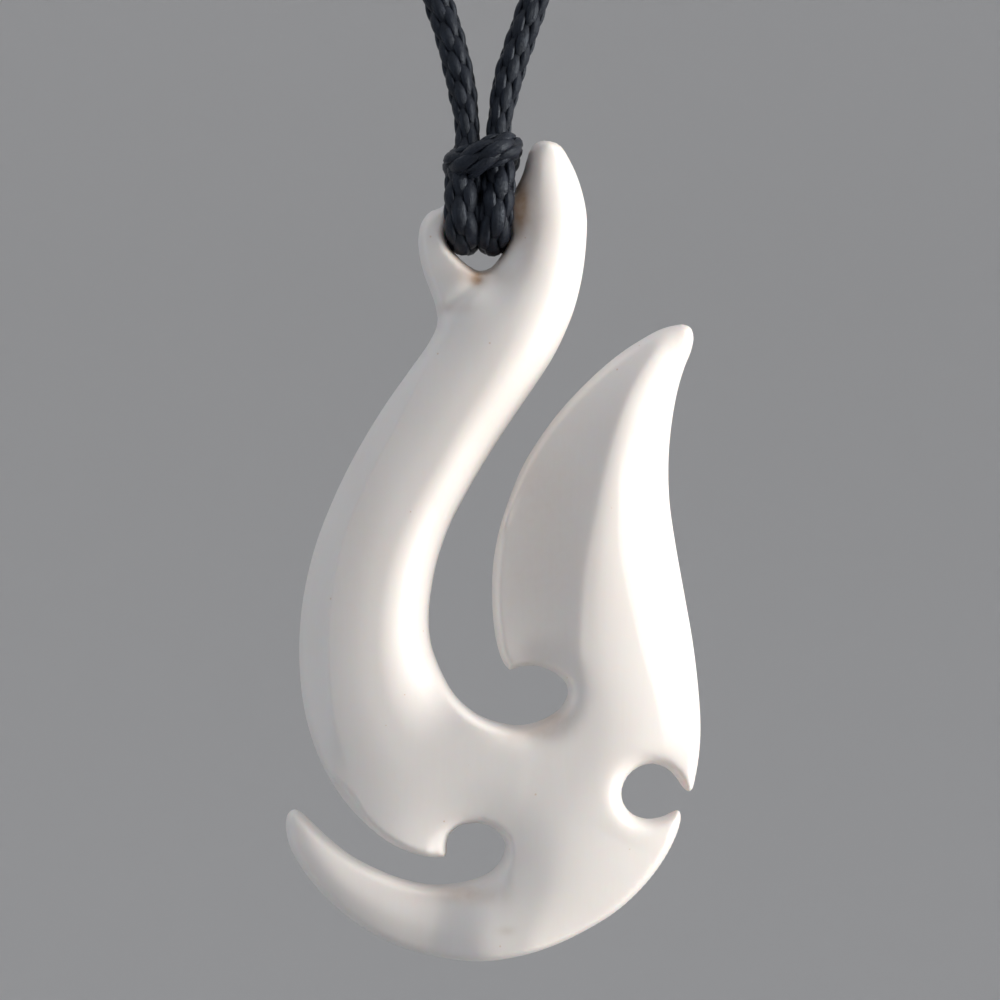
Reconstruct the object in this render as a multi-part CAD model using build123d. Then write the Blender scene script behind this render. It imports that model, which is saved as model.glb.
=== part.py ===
from build123d import *

import math
import os

import numpy as np
from scipy.spatial import Delaunay

# A fish hook pendant carved from one piece of bone, on a loop of black braided cord.
# Millimetres, +Z up, the pendant's front towards -Y. The origin is at the nape, on the inner
# face of the closure knot, where a neck carries the necklace.

# The carved bone: its outline's size, and how far its two faces rise from its middle plane.
hook_height = 50.0
hook_width = 25.3
front_rise = 3.0
back_rise = 2.1
edge_reach = 0.5      # how far in from an edge the front goes on rising
back_edge_reach = 1.8 # the same for the back, which is left rounder
thinnest = 0.05       # the least height of a face over the middle plane, beside an edge
back_fall = 0.35      # share of the height that the plain back loses from a limb's crest to its edge

# The braided cord and the cow hitch that holds the bone.
cord_dia = 1.9
cord_gap = 0.1        # clearance between the cord and the bone, and between its two strands
bridge_height = 1.5   # bone left above the hole, which the strands go round
bridge_depth = 1.4    # its thickness, front to back
notch_slope = 0.05    # how much the notch above the bridge climbs towards the right prong

# The closure knot at the nape: a plain barrel round both ends of the cord.
knot_length = 9.5
knot_dia = 5.2
knot_gap = 0.06       # clearance round each end of the cord
knot_edge = 1.1       # rounding of the barrel's two ends

# Where the hole's strands cross the bone's middle plane.
hole_x = -0.2
hole_z = -218.4
middle_y = -104.0

# The cord's route, chosen by hand: down the left side from the nape, round the bridge to the
# back, across the front of both strands as the hitch's collar, and back the same way to the
# nape. The neck holds it at the nape and the sides, and the bone pulls the rest straight.
# Columns: x, y, z.
left_side = [
    (-1.6, 2.6, 0.0), (-20.5, 1.4, -0.8), (-40.0, -7.4, -4.0), (-54.5, -24.0, -9.6),
    (-61.4, -45.5, -19.4), (-60.6, -66.5, -36.5), (-54.0, -80.4, -61.0), (-39.6, -88.8, -101.0),
    (-24.2, -95.6, -144.0), (-12.7, -100.4, -176.0), (-7.4, -102.4, -190.5), (-3.95, -103.9, -200.2),
    (-2.1, -104.5, -205.5), (-1.35, -104.8, -208.4), (-0.85, -105.0, -211.2), (-0.8, -105.2, -213.2),
    (-1.25, -106.1, -215.2),
]
left_turn = [(-1.15, -106.1, -218.4), (-1.2, -102.0, -218.4), (-1.25, -102.0, -215.2)]
collar = [(-1.35, -103.0, -213.8), (-1.4, -107.0, -214.4), (1.8, -107.3, -213.0), (1.65, -103.0, -213.2)]
right_turn = [(0.85, -102.0, -215.2), (0.8, -102.0, -218.4), (0.8, -106.1, -218.4)]
right_side = [
    (1.15, -106.1, -215.2), (1.0, -105.2, -213.0), (1.15, -105.0, -211.2), (1.75, -104.8, -208.4),
    (2.75, -104.5, -205.5), (4.56, -103.9, -200.2), (7.5, -102.4, -190.5), (12.0, -100.4, -176.3),
    (23.0, -95.5, -144.5), (38.8, -88.6, -101.5), (54.2, -80.2, -60.5), (60.8, -66.2, -36.2),
    (61.3, -45.3, -19.2), (54.3, -23.8, -9.4), (39.8, -7.3, -3.9), (20.3, 1.4, -0.8), (1.6, 2.6, 0.0),
]

# Facets of the carved bone: spacing over its faces and along its edges, the rows of corners
# that follow the edges inwards, and how near to an edge the faces' own corners come.
facet_step = 0.85
edge_step = 0.6
edge_rows = (0.14, 0.45)
facet_clearance = 0.95
edge_sampling = 0.1   # spacing of the edge's points when room is measured from them

# The hole's place on the outline, as shares of hook_width and hook_height.
hole_across = 0.4626
hole_up = 0.8838

# The outline, seen from the front, as shares of hook_width from the left and of hook_height
# from the bottom. Its runs follow each other clockwise and meet at the sharp corners.
# Columns: across, up.
left_prong = [
    (0.366, 0.783), (0.360, 0.800), (0.347, 0.818), (0.332, 0.839), (0.322, 0.861), (0.3196, 0.882),
    (0.327, 0.900), (0.347, 0.913), (0.372, 0.9185),
]
right_prong_to_barb = [
    (0.5435, 0.935), (0.560, 0.9475), (0.572, 0.961), (0.581, 0.977), (0.589, 0.989), (0.606, 0.998),
    (0.628, 1.000), (0.659, 0.995), (0.688, 0.973), (0.711, 0.944), (0.725, 0.910), (0.724, 0.875),
    (0.7145, 0.835), (0.696, 0.796), (0.674, 0.767), (0.644, 0.736), (0.601, 0.702), (0.550, 0.664),
    (0.493, 0.620), (0.4415, 0.576), (0.396, 0.532), (0.365, 0.488), (0.3485, 0.4445), (0.345, 0.413),
    (0.350, 0.387), (0.371, 0.3565), (0.403, 0.327), (0.440, 0.308), (0.476, 0.297), (0.517, 0.290),
    (0.556, 0.287), (0.597, 0.290), (0.635, 0.298), (0.664, 0.3095), (0.6795, 0.325), (0.677, 0.336),
    (0.662, 0.3455), (0.633, 0.355), (0.597, 0.3595), (0.563, 0.358), (0.540, 0.3545),
]
blade = [
    (0.540, 0.3545), (0.529, 0.360), (0.518, 0.371), (0.507, 0.391), (0.499, 0.4225), (0.497, 0.452),
    (0.501, 0.488), (0.5145, 0.525), (0.5375, 0.5615), (0.569, 0.601), (0.609, 0.635), (0.663, 0.6715),
    (0.731, 0.708), (0.798, 0.7375), (0.855, 0.757), (0.903, 0.770), (0.937, 0.775), (0.959, 0.776),
    (0.976, 0.772), (0.983, 0.761), (0.978, 0.745), (0.961, 0.723), (0.944, 0.6935), (0.930, 0.653),
    (0.923, 0.6105), (0.925, 0.5615), (0.940, 0.507), (0.962, 0.4445), (0.982, 0.386), (0.995, 0.330),
    (1.000, 0.287), (0.997, 0.254), (0.988, 0.225), (0.979, 0.2085), (0.971, 0.206),
]
right_curl = [
    (0.971, 0.206), (0.963, 0.2085), (0.952, 0.215), (0.938, 0.225), (0.9155, 0.235), (0.884, 0.240),
    (0.850, 0.236), (0.824, 0.225), (0.810, 0.209), (0.813, 0.193), (0.833, 0.1795), (0.867, 0.173),
    (0.901, 0.1745), (0.9275, 0.180), (0.943, 0.183), (0.949, 0.182),
]
keel_and_tail = [
    (0.949, 0.182), (0.952, 0.177), (0.949, 0.165), (0.937, 0.148), (0.908, 0.121), (0.862, 0.091),
    (0.7995, 0.0617), (0.725, 0.038), (0.645, 0.019), (0.553, 0.0055), (0.459, 0.000), (0.365, 0.005),
    (0.266, 0.019), (0.174, 0.0446), (0.099, 0.076), (0.0435, 0.109), (0.010, 0.139), (0.000, 0.1625),
    (0.004, 0.178), (0.019, 0.184), (0.036, 0.181), (0.063, 0.1685), (0.106, 0.148), (0.159, 0.1275),
    (0.217, 0.112), (0.280, 0.0995), (0.343, 0.093), (0.401, 0.0937), (0.454, 0.099), (0.495, 0.109),
    (0.522, 0.126), (0.528, 0.143), (0.5145, 0.156), (0.4855, 0.1655), (0.452, 0.168), (0.418, 0.164),
    (0.396, 0.1545), (0.388, 0.140), (0.388, 0.131), (0.382, 0.1264),
]
shank_outside = [
    (0.382, 0.1264), (0.353, 0.1264), (0.304, 0.132), (0.251, 0.144), (0.193, 0.1667), (0.1425, 0.194),
    (0.099, 0.228), (0.064, 0.2686), (0.042, 0.3126), (0.0326, 0.360), (0.034, 0.409), (0.047, 0.458),
    (0.0725, 0.5085), (0.111, 0.559), (0.163, 0.6136), (0.231, 0.6716), (0.295, 0.718), (0.342, 0.7515),
    (0.3623, 0.7717), (0.366, 0.783),
]

# The hole's lower side, under the two strands. Columns: across, up.
hole_low_side = [
    (0.5266, 0.8668), (0.5124, 0.8556), (0.4942, 0.8454), (0.4666, 0.8414), (0.4409, 0.8474),
    (0.4211, 0.8558), (0.4009, 0.8664),
]

# The limbs: one ridge along each, and how the front falls away from it to the limb's sides.
# Columns: across and up, then as shares of the rise: the ridge's height there, and how far the
# face falls from it to the left side and to the right one.
shank_ridge = [
    (0.632, 0.994, 0.56, 0.16, 0.20), (0.622, 0.965, 0.68, 0.26, 0.45), (0.623, 0.922, 0.80, 0.36, 0.66),
    (0.625, 0.897, 0.86, 0.40, 0.70), (0.615, 0.869, 0.90, 0.40, 0.72), (0.598, 0.833, 0.94, 0.44, 0.74),
    (0.572, 0.803, 0.97, 0.46, 0.76), (0.526, 0.757, 1.00, 0.38, 0.78), (0.473, 0.708, 1.00, 0.28, 0.78),
    (0.413, 0.659, 1.00, 0.28, 0.78), (0.360, 0.610, 1.00, 0.28, 0.78), (0.304, 0.562, 1.00, 0.28, 0.78),
    (0.258, 0.513, 1.00, 0.28, 0.78), (0.229, 0.464, 1.00, 0.28, 0.78), (0.215, 0.415, 1.00, 0.28, 0.78),
    (0.215, 0.366, 1.00, 0.28, 0.76), (0.232, 0.317, 1.00, 0.28, 0.70), (0.268, 0.275, 1.00, 0.28, 0.50),
    (0.323, 0.242, 1.00, 0.28, 0.20), (0.398, 0.222, 1.00, 0.18, 0.04), (0.508, 0.210, 1.00, 0.03, 0.00),
]
prong_ridge = [
    (0.374, 0.912, 0.52, 0.22, 0.10), (0.378, 0.888, 0.64, 0.30, 0.06), (0.392, 0.860, 0.72, 0.30, 0.04),
    (0.420, 0.838, 0.84, 0.22, 0.02), (0.458, 0.818, 1.00, 0.08, 0.00),
]
blade_ridge = [
    (0.968, 0.767, 0.34, 0.10, 0.20), (0.939, 0.757, 0.46, 0.18, 0.32), (0.902, 0.747, 0.58, 0.26, 0.44),
    (0.873, 0.729, 0.68, 0.34, 0.54), (0.845, 0.706, 0.77, 0.40, 0.64), (0.823, 0.684, 0.84, 0.45, 0.72),
    (0.804, 0.659, 0.89, 0.48, 0.77), (0.789, 0.635, 0.92, 0.50, 0.80), (0.765, 0.586, 0.96, 0.52, 0.82),
    (0.746, 0.537, 0.98, 0.53, 0.82), (0.729, 0.488, 1.00, 0.54, 0.82), (0.719, 0.440, 1.00, 0.54, 0.82),
    (0.714, 0.391, 1.00, 0.46, 0.82), (0.719, 0.354, 1.00, 0.26, 0.80), (0.731, 0.317, 1.00, 0.06, 0.76),
    (0.729, 0.275, 1.00, 0.00, 0.70), (0.693, 0.234, 1.00, 0.00, 0.62), (0.632, 0.195, 1.00, 0.00, 0.56),
    (0.608, 0.147, 1.00, 0.00, 0.52), (0.608, 0.104, 1.00, 0.00, 0.46), (0.577, 0.063, 1.00, 0.00, 0.34),
]
tail_ridge = [
    (0.018, 0.174, 0.36, 0.06, 0.08), (0.041, 0.162, 0.44, 0.10, 0.10), (0.064, 0.144, 0.51, 0.14, 0.12),
    (0.096, 0.122, 0.57, 0.16, 0.12), (0.142, 0.098, 0.62, 0.17, 0.12), (0.224, 0.072, 0.65, 0.18, 0.10),
    (0.335, 0.051, 0.67, 0.18, 0.08), (0.420, 0.043, 0.76, 0.16, 0.04), (0.520, 0.036, 1.00, 0.10, 0.00),
]
# Columns: ridge, power of the fall to its left, the same to its right at its start and its end,
# how softly the ridge turns, reach to its left and to its right, share of the ridge where it
# fades into the body, and a ridge whose ground it keeps off.
limbs = [
    (shank_ridge, 1.9, 2.3, 2.3, 0.05, 5.8, 5.8, 0.80, None),
    (prong_ridge, 1.8, 1.8, 1.8, 0.05, 3.0, 2.4, 0.80, None),
    (blade_ridge, 0.9, 1.35, 2.1, 0.40, 7.6, 9.5, 0.95, shank_ridge),
    (tail_ridge, 1.6, 1.6, 1.6, 0.10, 3.8, 3.8, 0.72, None),
]
facet_softness = 0.03
limb_border = 0.6

# The two filed bevels. Columns: across, up, and how deep it cuts at the edge, as a share.
shank_bevel = [
    (0.405, 0.769, 0.00), (0.333, 0.716, 0.34), (0.268, 0.652, 0.52), (0.198, 0.584, 0.58),
    (0.135, 0.502, 0.58), (0.109, 0.415, 0.56), (0.109, 0.354, 0.46), (0.121, 0.293, 0.24),
    (0.159, 0.232, 0.00),
]
blade_bevel = [
    (0.830, 0.655, 0.00), (0.801, 0.602, 0.12), (0.799, 0.556, 0.16), (0.801, 0.502, 0.16),
    (0.835, 0.419, 0.16), (0.859, 0.369, 0.16), (0.883, 0.330, 0.14), (0.902, 0.281, 0.08),
    (0.912, 0.250, 0.00),
]
# Columns: line, whether it lies to the line's right going down, softness of its arris.
bevels = [
    (shank_bevel, False, 0.06),
    (blade_bevel, True, 0.05),
]

# The scoops round the three curled notches.
# Columns: across, up, radius of the hole, how far out the scoop stays deepest and over what
# width it then fades, and the share cut.
scoops = [
    (0.585, 0.330, 2.10, 1.9, 1.00, 0.20),
    (0.442, 0.127, 2.05, 0.6, 3.00, 0.22),
    (0.442, 0.127, 2.05, 1.9, 0.45, 0.12),
    (0.875, 0.207, 1.80, 1.5, 0.65, 0.24),
]

# The crease between the left prong and the shank.
crease_ends = [(0.4626, 0.828), (0.372, 0.782)]
crease_depth = 0.16
crease_width = 0.45

# The seat that the strands lie in, over the bridge: flat under them, then rising to the prongs.
seat_flat = 1.63
seat_slope = 2.4
seat_fade = 1.6
seat_below = 0.2      # how far below the strands' middle the seat starts to rise again
seat_softness = 0.1


def strand_pitch():
    """How far apart the two strands lie in the hole."""
    return cord_dia + cord_gap


def strand_drop():
    """How far the strands pass below the middle line of the bridge that they go round."""
    return bridge_height / 2 + cord_gap + cord_dia / 2


def place(across, up):
    """A point of the bone's middle plane from its shares of the width and height."""
    x = hole_x + hook_width * (across - hole_across)
    z = hole_z + hook_height * (up - hole_up)
    return (x, z)


def smooth_run(corners, step):
    """Points about a step apart on a smooth curve through the corners, without the last one."""
    knots = np.array(corners, dtype=float)
    before = 2 * knots[0] - knots[1]
    after = 2 * knots[-1] - knots[-2]
    knots = np.vstack([before, knots, after])
    points = []
    for i in range(1, len(knots) - 2):
        p0, p1, p2, p3 = knots[i - 1:i + 3]
        gap0 = math.sqrt(np.linalg.norm(p1 - p0))
        gap1 = math.sqrt(np.linalg.norm(p2 - p1))
        gap2 = math.sqrt(np.linalg.norm(p3 - p2))
        slope1 = (p1 - p0) / gap0 - (p2 - p0) / (gap0 + gap1) + (p2 - p1) / gap1
        slope2 = (p2 - p1) / gap1 - (p3 - p1) / (gap1 + gap2) + (p3 - p2) / gap2
        count = max(1, round(np.linalg.norm(p2 - p1) / step))
        for k in range(count):
            t = k / count
            h00 = 2 * t**3 - 3 * t**2 + 1
            h10 = t**3 - 2 * t**2 + t
            h01 = 3 * t**2 - 2 * t**3
            h11 = t**3 - t**2
            points.append(h00 * p1 + h10 * gap1 * slope1 + h01 * p2 + h11 * gap1 * slope2)
    return np.array(points)


def outer_outline(step):
    """The bone's outline, with the notch between the prongs cut down to the bridge."""
    notch_z = hole_z + strand_drop() + bridge_height / 2
    half_notch = strand_pitch() / 2 + cord_dia / 2
    notch = [(hole_x + x, notch_z + notch_slope * x) for x in (-0.6 * half_notch, 0, 0.6 * half_notch)]
    prongs = [place(*row) for row in left_prong] + notch + [place(*row) for row in right_prong_to_barb]
    runs = [prongs]
    for table in (blade, right_curl, keel_and_tail, shank_outside):
        runs.append([place(*row) for row in table])
    return np.vstack([smooth_run(run, step) for run in runs])


def hole_outline(step):
    """The hole: round beside the two strands that fill it, and narrower below them."""
    side = cord_dia / 2 + cord_gap
    half = strand_pitch() / 2

    def beside(strand, degrees):
        angles = np.radians(degrees)
        return [(hole_x + strand + side * math.cos(a), hole_z + side * math.sin(a)) for a in angles]

    top = (hole_x, hole_z + side)
    right = beside(half, (90, 60, 30, 0, -30))
    left = beside(-half, (210, 180, 150, 120, 90))
    low = [place(*row) for row in hole_low_side]
    return smooth_run([top, *right, *low, *left, top], step)


def segment_distance(points, ends):
    """Distance from each point to a line of ends, and the nearest place's segment and share."""
    best = np.full(len(points), np.inf)
    segment = np.zeros(len(points), dtype=int)
    share = np.zeros(len(points))
    for i in range(len(ends) - 1):
        along = ends[i + 1] - ends[i]
        t = np.clip((points - ends[i]) @ along / (along @ along), 0, 1)
        distance = np.linalg.norm(points - ends[i] - t[:, None] * along, axis=1)
        nearer = distance < best
        best[nearer] = distance[nearer]
        segment[nearer] = i
        share[nearer] = t[nearer]
    return best, segment, share


def smooth_step(value):
    """0 below 0, 1 above 1, and a soft rise between."""
    t = np.clip(value, 0, 1)
    return t * t * (3 - 2 * t)


def soft_excess(value, softness):
    """How far a value is above 0, with a soft start."""
    return 0.5 * (value + np.sqrt(value * value + softness * softness))


def room_from_edges(points, fine_edge, lengths):
    """A smooth distance from all edges: the true one near an edge, and less between two edges."""
    pull = np.zeros(len(points))
    for start in range(0, len(points), 500):
        part = points[start:start + 500]
        gap = np.linalg.norm(part[:, None, :] - fine_edge[None, :, :], axis=2)
        pull[start:start + 500] = (lengths / np.maximum(gap, 1e-6)**3).sum(axis=1)
    return np.sqrt(2 / pull)


def nearest_gap(points, spots):
    """Distance from each point to the nearest of the spots."""
    nearest = np.zeros(len(points))
    for start in range(0, len(points), 500):
        part = points[start:start + 500]
        gap = np.linalg.norm(part[:, None, :] - spots[None, :, :], axis=2)
        nearest[start:start + 500] = gap.min(axis=1)
    return nearest


def side_samples(edge):
    """The edge points of the limbs' sides: those of the holes' walls are left out."""
    kept = np.ones(len(edge), dtype=bool)
    for across, up, hole, floor_reach, width, share in scoops:
        kept &= np.linalg.norm(edge - np.array(place(across, up)), axis=1) > 1.15 * hole
    return edge[kept]


def drawn_line(table):
    """A table's line and its values, drawn smoothly through the chosen points."""
    rows = [(*place(row[0], row[1]), *row[2:]) for row in table]
    drawn = np.vstack([smooth_run(rows, 0.4), rows[-1:]])
    return drawn[:, :2], drawn[:, 2:]


def blended(points, line, columns):
    """The line's values at each point: all of the line counts, its near parts by far the most."""
    here = np.zeros((len(points), columns.shape[1]))
    total = np.zeros(len(points))
    for spot, row in zip(line, columns):
        pull = 1 / (np.linalg.norm(points - spot, axis=1) + 0.5)**6
        here += pull[:, None] * row
        total += pull
    return here / total[:, None]


def beside_line(points, edge_gap, line, softness):
    """Where each point lies beside a line: nearest place, side, distance and share to the edge."""
    away, segment, share = segment_distance(points, line)
    along = line[segment + 1] - line[segment]
    offset = points - line[segment]
    right_hand = along[:, 1] * offset[:, 0] - along[:, 0] * offset[:, 1] < 0

    eased = np.sqrt(away**2 + softness**2) - softness
    across = eased / (away + edge_gap + 1e-9)
    return segment, share, right_hand, away, across


def cut_to_limb(height, points, edge_gap, limb, rise, plain):
    """Lowers the height to what falls away from a limb's ridge towards the edges."""
    ridge, left_power, right_start, right_end, softness, left_reach, right_reach, fade, neighbour = limb
    line, values = drawn_line(ridge)
    segment, share, right_hand, away, across = beside_line(points, edge_gap, line, softness)
    here = blended(points, line, np.column_stack([values, np.linspace(0, 1, len(line))]))
    travelled = here[:, 3]
    left = here[:, 1] * across**left_power
    right_power = right_start + (right_end - right_start) * smooth_step(travelled)
    right = here[:, 2] * across**right_power
    fall = np.where(right_hand, right, left)
    if plain:
        fall = back_fall * across**2
    facet = rise * (here[:, 0] - fall)
    reach = np.where(right_hand, right_reach, left_reach)
    weight = 1 - smooth_step((away / reach - 0.8) / 0.2)
    if neighbour is not None:
        to_neighbour = segment_distance(points, drawn_line(neighbour)[0])[0]
        weight = weight * smooth_step((to_neighbour - away) / limb_border + 0.5)
    weight = weight * (1 - smooth_step((travelled - fade) / (1 - fade)))
    return height - weight * soft_excess(height - facet, facet_softness)


def face_height(points, side_gap, room, rise, plain):
    """Height of a face over the bone's middle plane."""
    height = np.full(len(points), rise)
    for limb in limbs:
        height = cut_to_limb(height, points, side_gap, limb, rise, plain)
    if not plain:
        for table, on_right, softness in bevels:
            line, values = drawn_line(table)
            segment, share, right_hand, away, across = beside_line(points, side_gap, line, softness)
            depth = values[segment, 0] * (1 - share) + values[segment + 1, 0] * share
            height = height - rise * np.where(right_hand == on_right, depth * across, 0)
    for across, up, hole, floor_reach, width, share in scoops:
        gap = np.linalg.norm(points - np.array(place(across, up)), axis=1)
        cut = np.exp(-(np.maximum(gap - floor_reach, 0) / width)**2)
        height = height * (1 - share * cut)
    crease = np.array([place(*end) for end in crease_ends])
    gap = segment_distance(points, crease)[0]
    height = height - crease_depth * np.exp(-(gap / crease_width)**2) * (0.5 if plain else 1)
    near = 1 - np.minimum(room / (back_edge_reach if plain else edge_reach), 1)
    height = height * np.sqrt(1 - near**2)
    sideways = np.abs(points[:, 0] - hole_x)
    above = points[:, 1] - hole_z
    seat = bridge_depth / 2 + seat_slope * soft_excess(sideways - seat_flat, seat_softness)
    below = np.maximum(0, -above - seat_below)
    seat = seat + seat_slope * (below / seat_fade)**2 * seat_fade
    height = height - soft_excess(height - seat, seat_softness)
    return np.maximum(height, thinnest)


def inside(points, loop):
    """Which points lie inside a closed loop."""
    result = np.zeros(len(points), dtype=bool)
    ends = np.roll(loop, -1, axis=0)
    for (x0, z0), (x1, z1) in zip(loop, ends):
        crosses = (z0 > points[:, 1]) != (z1 > points[:, 1])
        if z0 != z1:
            cut = x0 + (points[:, 1] - z0) / (z1 - z0) * (x1 - x0)
            result ^= crosses & (points[:, 0] < cut)
    return result


def inset(loop, depth):
    """Points of a clockwise loop moved inwards, to the right of its way round."""
    along = np.roll(loop, -1, axis=0) - np.roll(loop, 1, axis=0)
    along = along / np.linalg.norm(along, axis=1)[:, None]
    inwards = np.stack([along[:, 1], -along[:, 0]], axis=1)
    return loop + depth * inwards


def carved_bone():
    """The bone as one closed solid of small flat facets, front and back over one outline."""
    outer = outer_outline(edge_step)
    hole = hole_outline(edge_step)[::-1]
    rims = np.vstack([outer, hole])

    fine_loops = [outer_outline(edge_sampling), hole_outline(edge_sampling)]
    fine_edge = np.vstack(fine_loops)
    lengths = []
    for loop in fine_loops:
        gaps = np.linalg.norm(np.roll(loop, -1, axis=0) - loop, axis=1)
        lengths.append((gaps + np.roll(gaps, 1)) / 2)
    lengths = np.concatenate(lengths)

    def edge_distance(points):
        gaps = [segment_distance(points, np.vstack([loop, loop[:1]]))[0] for loop in (outer, hole)]
        return np.minimum(gaps[0], gaps[1])

    layers = []
    for depth in edge_rows:
        ring = np.vstack([inset(outer, depth), inset(hole, depth)])
        layers.append(ring[edge_distance(ring) > 0.93 * depth])
    low = outer.min(axis=0)
    high = outer.max(axis=0)
    row_gap = facet_step * math.sqrt(3) / 2
    lattice = []
    for j in range(int((high[1] - low[1]) / row_gap) + 1):
        for i in range(int((high[0] - low[0]) / facet_step) + 1):
            lattice.append((low[0] + facet_step * (i + 0.5 * (j % 2)), low[1] + row_gap * j))
    lattice = np.array(lattice)
    lattice = lattice[inside(lattice, outer) & ~inside(lattice, hole)]
    layers.append(lattice[edge_distance(lattice) > facet_clearance])
    inner = np.vstack(layers)
    inner = inner[inside(inner, outer) & ~inside(inner, hole)]

    flat = np.vstack([rims, inner])
    triangles = Delaunay(flat).simplices
    centres = flat[triangles].mean(axis=1)
    kept = inside(centres, outer) & ~inside(centres, hole)
    triangles = triangles[kept]

    side_gap = nearest_gap(inner, side_samples(fine_edge))
    room = room_from_edges(inner, fine_edge, lengths)
    front = face_height(inner, side_gap, room, front_rise, False)
    back = face_height(inner, side_gap, room, back_rise, True)
    rim_count = len(rims)
    on_rim = np.zeros(rim_count)
    front = np.concatenate([on_rim, front])
    back = np.concatenate([on_rim, back])

    faces = []
    for triangle in triangles:
        a, b, c = triangle
        ahead = flat[b] - flat[a]
        aside = flat[c] - flat[a]
        if ahead[0] * aside[1] - ahead[1] * aside[0] < 0:
            b, c = c, b
        # Seen from the front, towards +Y, a, b, c run anticlockwise, so they face -Y.
        front_corners = [(flat[i][0], middle_y - front[i], flat[i][1]) for i in (a, b, c)]
        faces.append(Face(Wire.make_polygon(front_corners)))
        back_corners = [(flat[i][0], middle_y + back[i], flat[i][1]) for i in (a, c, b)]
        faces.append(Face(Wire.make_polygon(back_corners)))
    print("bone facets:", len(faces))
    return Solid(Shell(faces))


def corner_radii(points):
    """The largest tangent arc at each corner of a route: 0.45 of the shorter run beside it."""
    radii = []
    for before, corner, after in zip(points, points[1:], points[2:]):
        back = before - corner
        ahead = after - corner
        half_turn = math.radians(180 - back.get_angle(ahead)) / 2
        radii.append(0.45 * min(back.length, ahead.length) / math.tan(half_turn))
    return radii


def tube(points, radii, radius):
    """A round tube along straight runs joined by tangent arcs."""
    path = FilletPolyline(*points, radius=radii)
    section = Plane(origin=points[0], z_dir=points[1] - points[0]) * Circle(radius)
    solid = sweep(section, path=path)
    print("run of", round(path.length, 1), "mm, volume", round(solid.volume, 1),
          "and by its section", round(path.length * math.pi * radius**2, 1))
    return solid


def braided_cord():
    """The cord from end to end, its collar drawn tight into the strands that it crosses."""
    route = [Vector(*row) for row in left_side + left_turn + collar + right_turn + right_side]
    radii = corner_radii(route)
    print("cord's radii:", [round(radius, 1) for radius in radii])
    # It is cut in two places, half way along the runs that lead into the collar and out of it.
    first = len(left_side) + len(left_turn)
    last = first + len(collar)
    into = (route[first - 1] + route[first]) * 0.5
    out = (route[last - 1] + route[last]) * 0.5
    left = tube(route[:first] + [into], radii[:first - 1], cord_dia / 2)
    middle = tube([into] + route[first:last] + [out], radii[first - 1:last - 1], cord_dia / 2)
    right = tube([out] + route[last:], radii[last - 1:], cord_dia / 2)
    return left + middle + right


def closure_knot():
    """The barrel at the nape, bored from both ends for the cord."""
    centre = (0, knot_dia / 2, 0)
    barrel = Pos(*centre) * Rot(0, 90, 0) * Cylinder(knot_dia / 2, knot_length)
    barrel = fillet(barrel.edges().filter_by(GeomType.CIRCLE), knot_edge)
    for route in (left_side, right_side[::-1]):
        end = Vector(*route[0])
        outwards = (Vector(*route[1]) - end).normalized()
        bore = Plane(origin=end - outwards * knot_gap, z_dir=outwards) * Cylinder(
            cord_dia / 2 + knot_gap, knot_length, align=(Align.CENTER, Align.CENTER, Align.MIN)
        )
        barrel = barrel - bore
    return barrel


os.makedirs("parts", exist_ok=True)
for node, solid in (
    ("hook", carved_bone()),
    ("neck_cord", braided_cord()),
    ("nape_knot", closure_knot()),
):
    print(node, "volume", round(solid.volume, 1), "solids", len(solid.solids()))
    export_step(solid, "parts/" + node + ".step")
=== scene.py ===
# %% [markdown]
# A fish hook pendant, carved from one piece of bone and polished, hangs by a cow hitch on a
# loop of black waxed braid. The CAD frame already holds each piece at its real size, so this
# lesson keeps every place and adds what the eye looks for: the carver's crisp facets, the
# braid's sixteen yarns and the two finishes. Lengths are in metres, written as so many mm.

# %% The frame
import math

import bpy
import numpy as np
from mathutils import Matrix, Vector
from mathutils.geometry import delaunay_2d_cdt


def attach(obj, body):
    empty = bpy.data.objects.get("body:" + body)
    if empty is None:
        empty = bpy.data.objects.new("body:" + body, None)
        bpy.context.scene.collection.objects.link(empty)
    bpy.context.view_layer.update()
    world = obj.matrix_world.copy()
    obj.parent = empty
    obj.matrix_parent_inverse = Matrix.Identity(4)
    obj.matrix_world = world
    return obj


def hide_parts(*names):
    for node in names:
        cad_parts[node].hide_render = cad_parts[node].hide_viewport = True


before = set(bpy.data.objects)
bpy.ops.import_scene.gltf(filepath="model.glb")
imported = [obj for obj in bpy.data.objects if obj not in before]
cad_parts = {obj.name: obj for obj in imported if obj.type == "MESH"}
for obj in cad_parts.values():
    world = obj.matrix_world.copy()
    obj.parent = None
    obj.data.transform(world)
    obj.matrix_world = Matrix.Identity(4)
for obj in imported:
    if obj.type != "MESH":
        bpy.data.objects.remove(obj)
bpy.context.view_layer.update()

mm = 0.001
scene = bpy.context.scene
scene.view_settings.view_transform = "Standard"

# %% [markdown]
# The photograph looks straight at the pendant's front, with the hook filling the picture's
# height. A wide lens held close would swell the nearest facets, so a long one stands a hand's
# length away. Its distance follows from the width that the picture shows at the bone.

# %% Camera
bone_middle_y = -104 * mm
picture_middle = Vector((1.16 * mm, bone_middle_y, -234.5 * mm))
picture_width = 61.05 * mm
lens_length = 150
film_width = 36

camera = bpy.data.objects.new("camera", bpy.data.cameras.new("camera"))
scene.collection.objects.link(camera)
scene.camera = camera
camera.data.sensor_width = film_width
camera.data.lens = lens_length
camera_distance = picture_width * lens_length / film_width
camera.location = picture_middle - Vector((0, camera_distance, 0))
camera.rotation_euler = (math.radians(90), 0, 0)
camera.data.clip_start = 10 * mm
print("camera stands", round(camera_distance / mm), "mm from the bone")

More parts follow.
